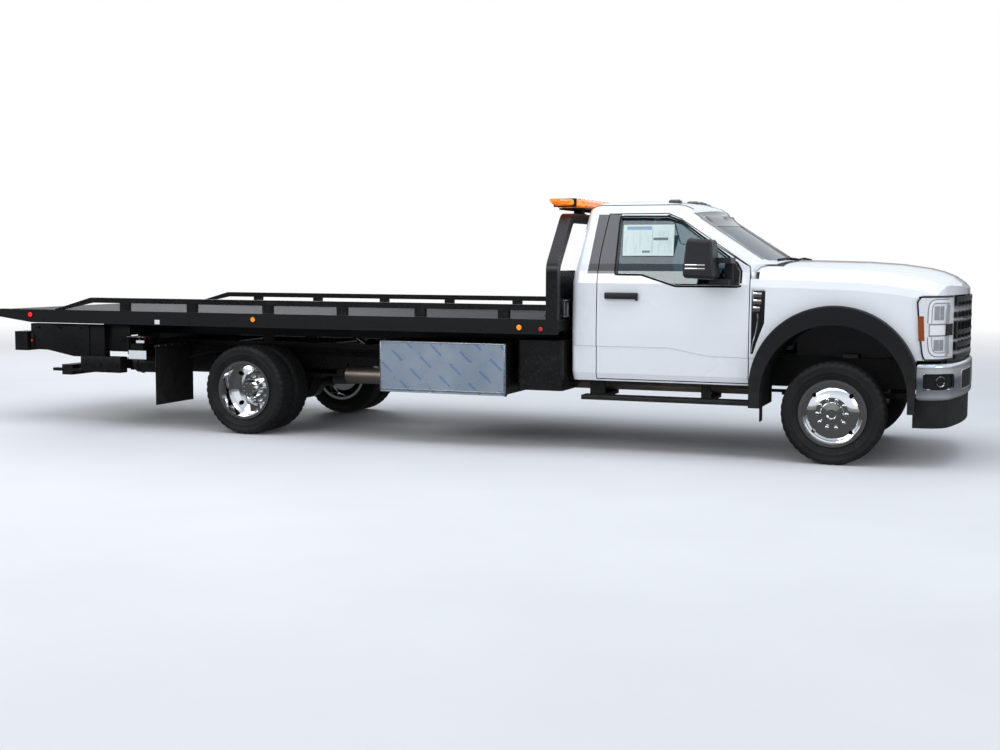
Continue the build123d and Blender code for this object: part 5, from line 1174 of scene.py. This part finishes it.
def studio_floor():
    """A pale floor that fades to white far from the truck."""
    kit = Kit()
    kit.sheet([[Vector((r * c, r * n, -0.0005)) for c, n in circle(48) + circle(48)[:1]]
               for r in (0.0, 6.0, 12.0, 20.0, 40.0, 120.0)])
    bmesh.ops.remove_doubles(kit.bm, verts=kit.bm.verts, dist=1e-4)
    floor = formed("floor", kit.bm)
    s = Shader("floor")
    s.give(Roughness=0.7, Base_Color=s.drift((0.7, 0.7, 0.71), (0.73, 0.73, 0.74), 0.8, 4.0))
    length = s.node("VectorMath", s.place)
    length.operation = "LENGTH"
    glow = s.node("Emission", Strength=1.0).outputs[0]
    near = s.blend(s.ranged(length.outputs["Value"], 0, 1, 7.0, 22.0), s.bsdf.outputs[0], glow)
    # Polished metal mirrors a darker ground, as it does out of doors
    dark = s.node("Emission", (0.075, 0.078, 0.08)).outputs[0]
    glossy = s.node("LightPath").outputs["Is Glossy Ray"]
    s.put(s.out.inputs[0], s.blend(glossy, near, dark))
    floor.data.materials.append(s.material)


studio_floor()


def area_light(name, place, aim, size, power, tint=(1, 1, 1)):
    data = bpy.data.lights.new(name, "AREA")
    data.shape = "RECTANGLE"
    data.size, data.size_y = size
    data.energy = power
    data.color = tint
    light = placed(name, data)
    light.location = place
    light.rotation_mode = "QUATERNION"
    light.rotation_quaternion = (Vector(aim) - Vector(place)).to_track_quat("-Z", "Y")


area_light("sky_panel", (0.5, -2.0, 8.5), (0.3, 0.0, 0.5), (14, 7), 520, (0.96, 0.98, 1.0))
area_light("key_panel", (-4.0, -13.0, 7.5), (0.5, 0.0, 0.8), (8, 4), 420, (1.0, 0.985, 0.96))
area_light("front_panel", (13.0, -5.0, 5.0), (3.0, 0.0, 1.0), (5, 3), 240)
area_light("rear_panel", (-9.0, 8.0, 6.0), (0.0, 0.0, 1.0), (8, 4), 300)

# White to the camera, a soft sky to the truck and a skyline in its polished parts.
# Each colour stands at a height of the sky, from 0 straight down to 1 straight up.
SOFT_SKY = ((0.0, (0.1, 0.1, 0.1)), (0.47, (0.22, 0.22, 0.22)), (0.53, (0.42, 0.43, 0.45)), (0.7, (0.62, 0.66, 0.72)),
            (1.0, (0.55, 0.62, 0.72)))
MIRRORED_SKY = (
    (0.0, (0.03, 0.03, 0.03)), (0.49, (0.07, 0.075, 0.07)), (0.5, (0.2, 0.2, 0.19)), (0.56, (0.32, 0.32, 0.31)),
    (0.575, (0.8, 0.84, 0.9)), (0.75, (0.92, 0.95, 1.0)), (1.0, (0.4, 0.5, 0.68)))
world = bpy.data.worlds.new("surroundings")
scene.world = world
s = Shader("surroundings", world)
height = s.add(s.times(s.axes()[2], 0.5), 0.5)
path = s.node("LightPath").outputs
colour = s.mixed(path["Is Glossy Ray"], s.ramp(height, SOFT_SKY), s.ramp(height, MIRRORED_SKY))
background = s.node("Background", s.mixed(path["Is Camera Ray"], colour, (1.0, 1.0, 1.0)))
s.put(s.out.inputs[0], background.outputs[0])
scene.view_settings.view_transform = "Standard"
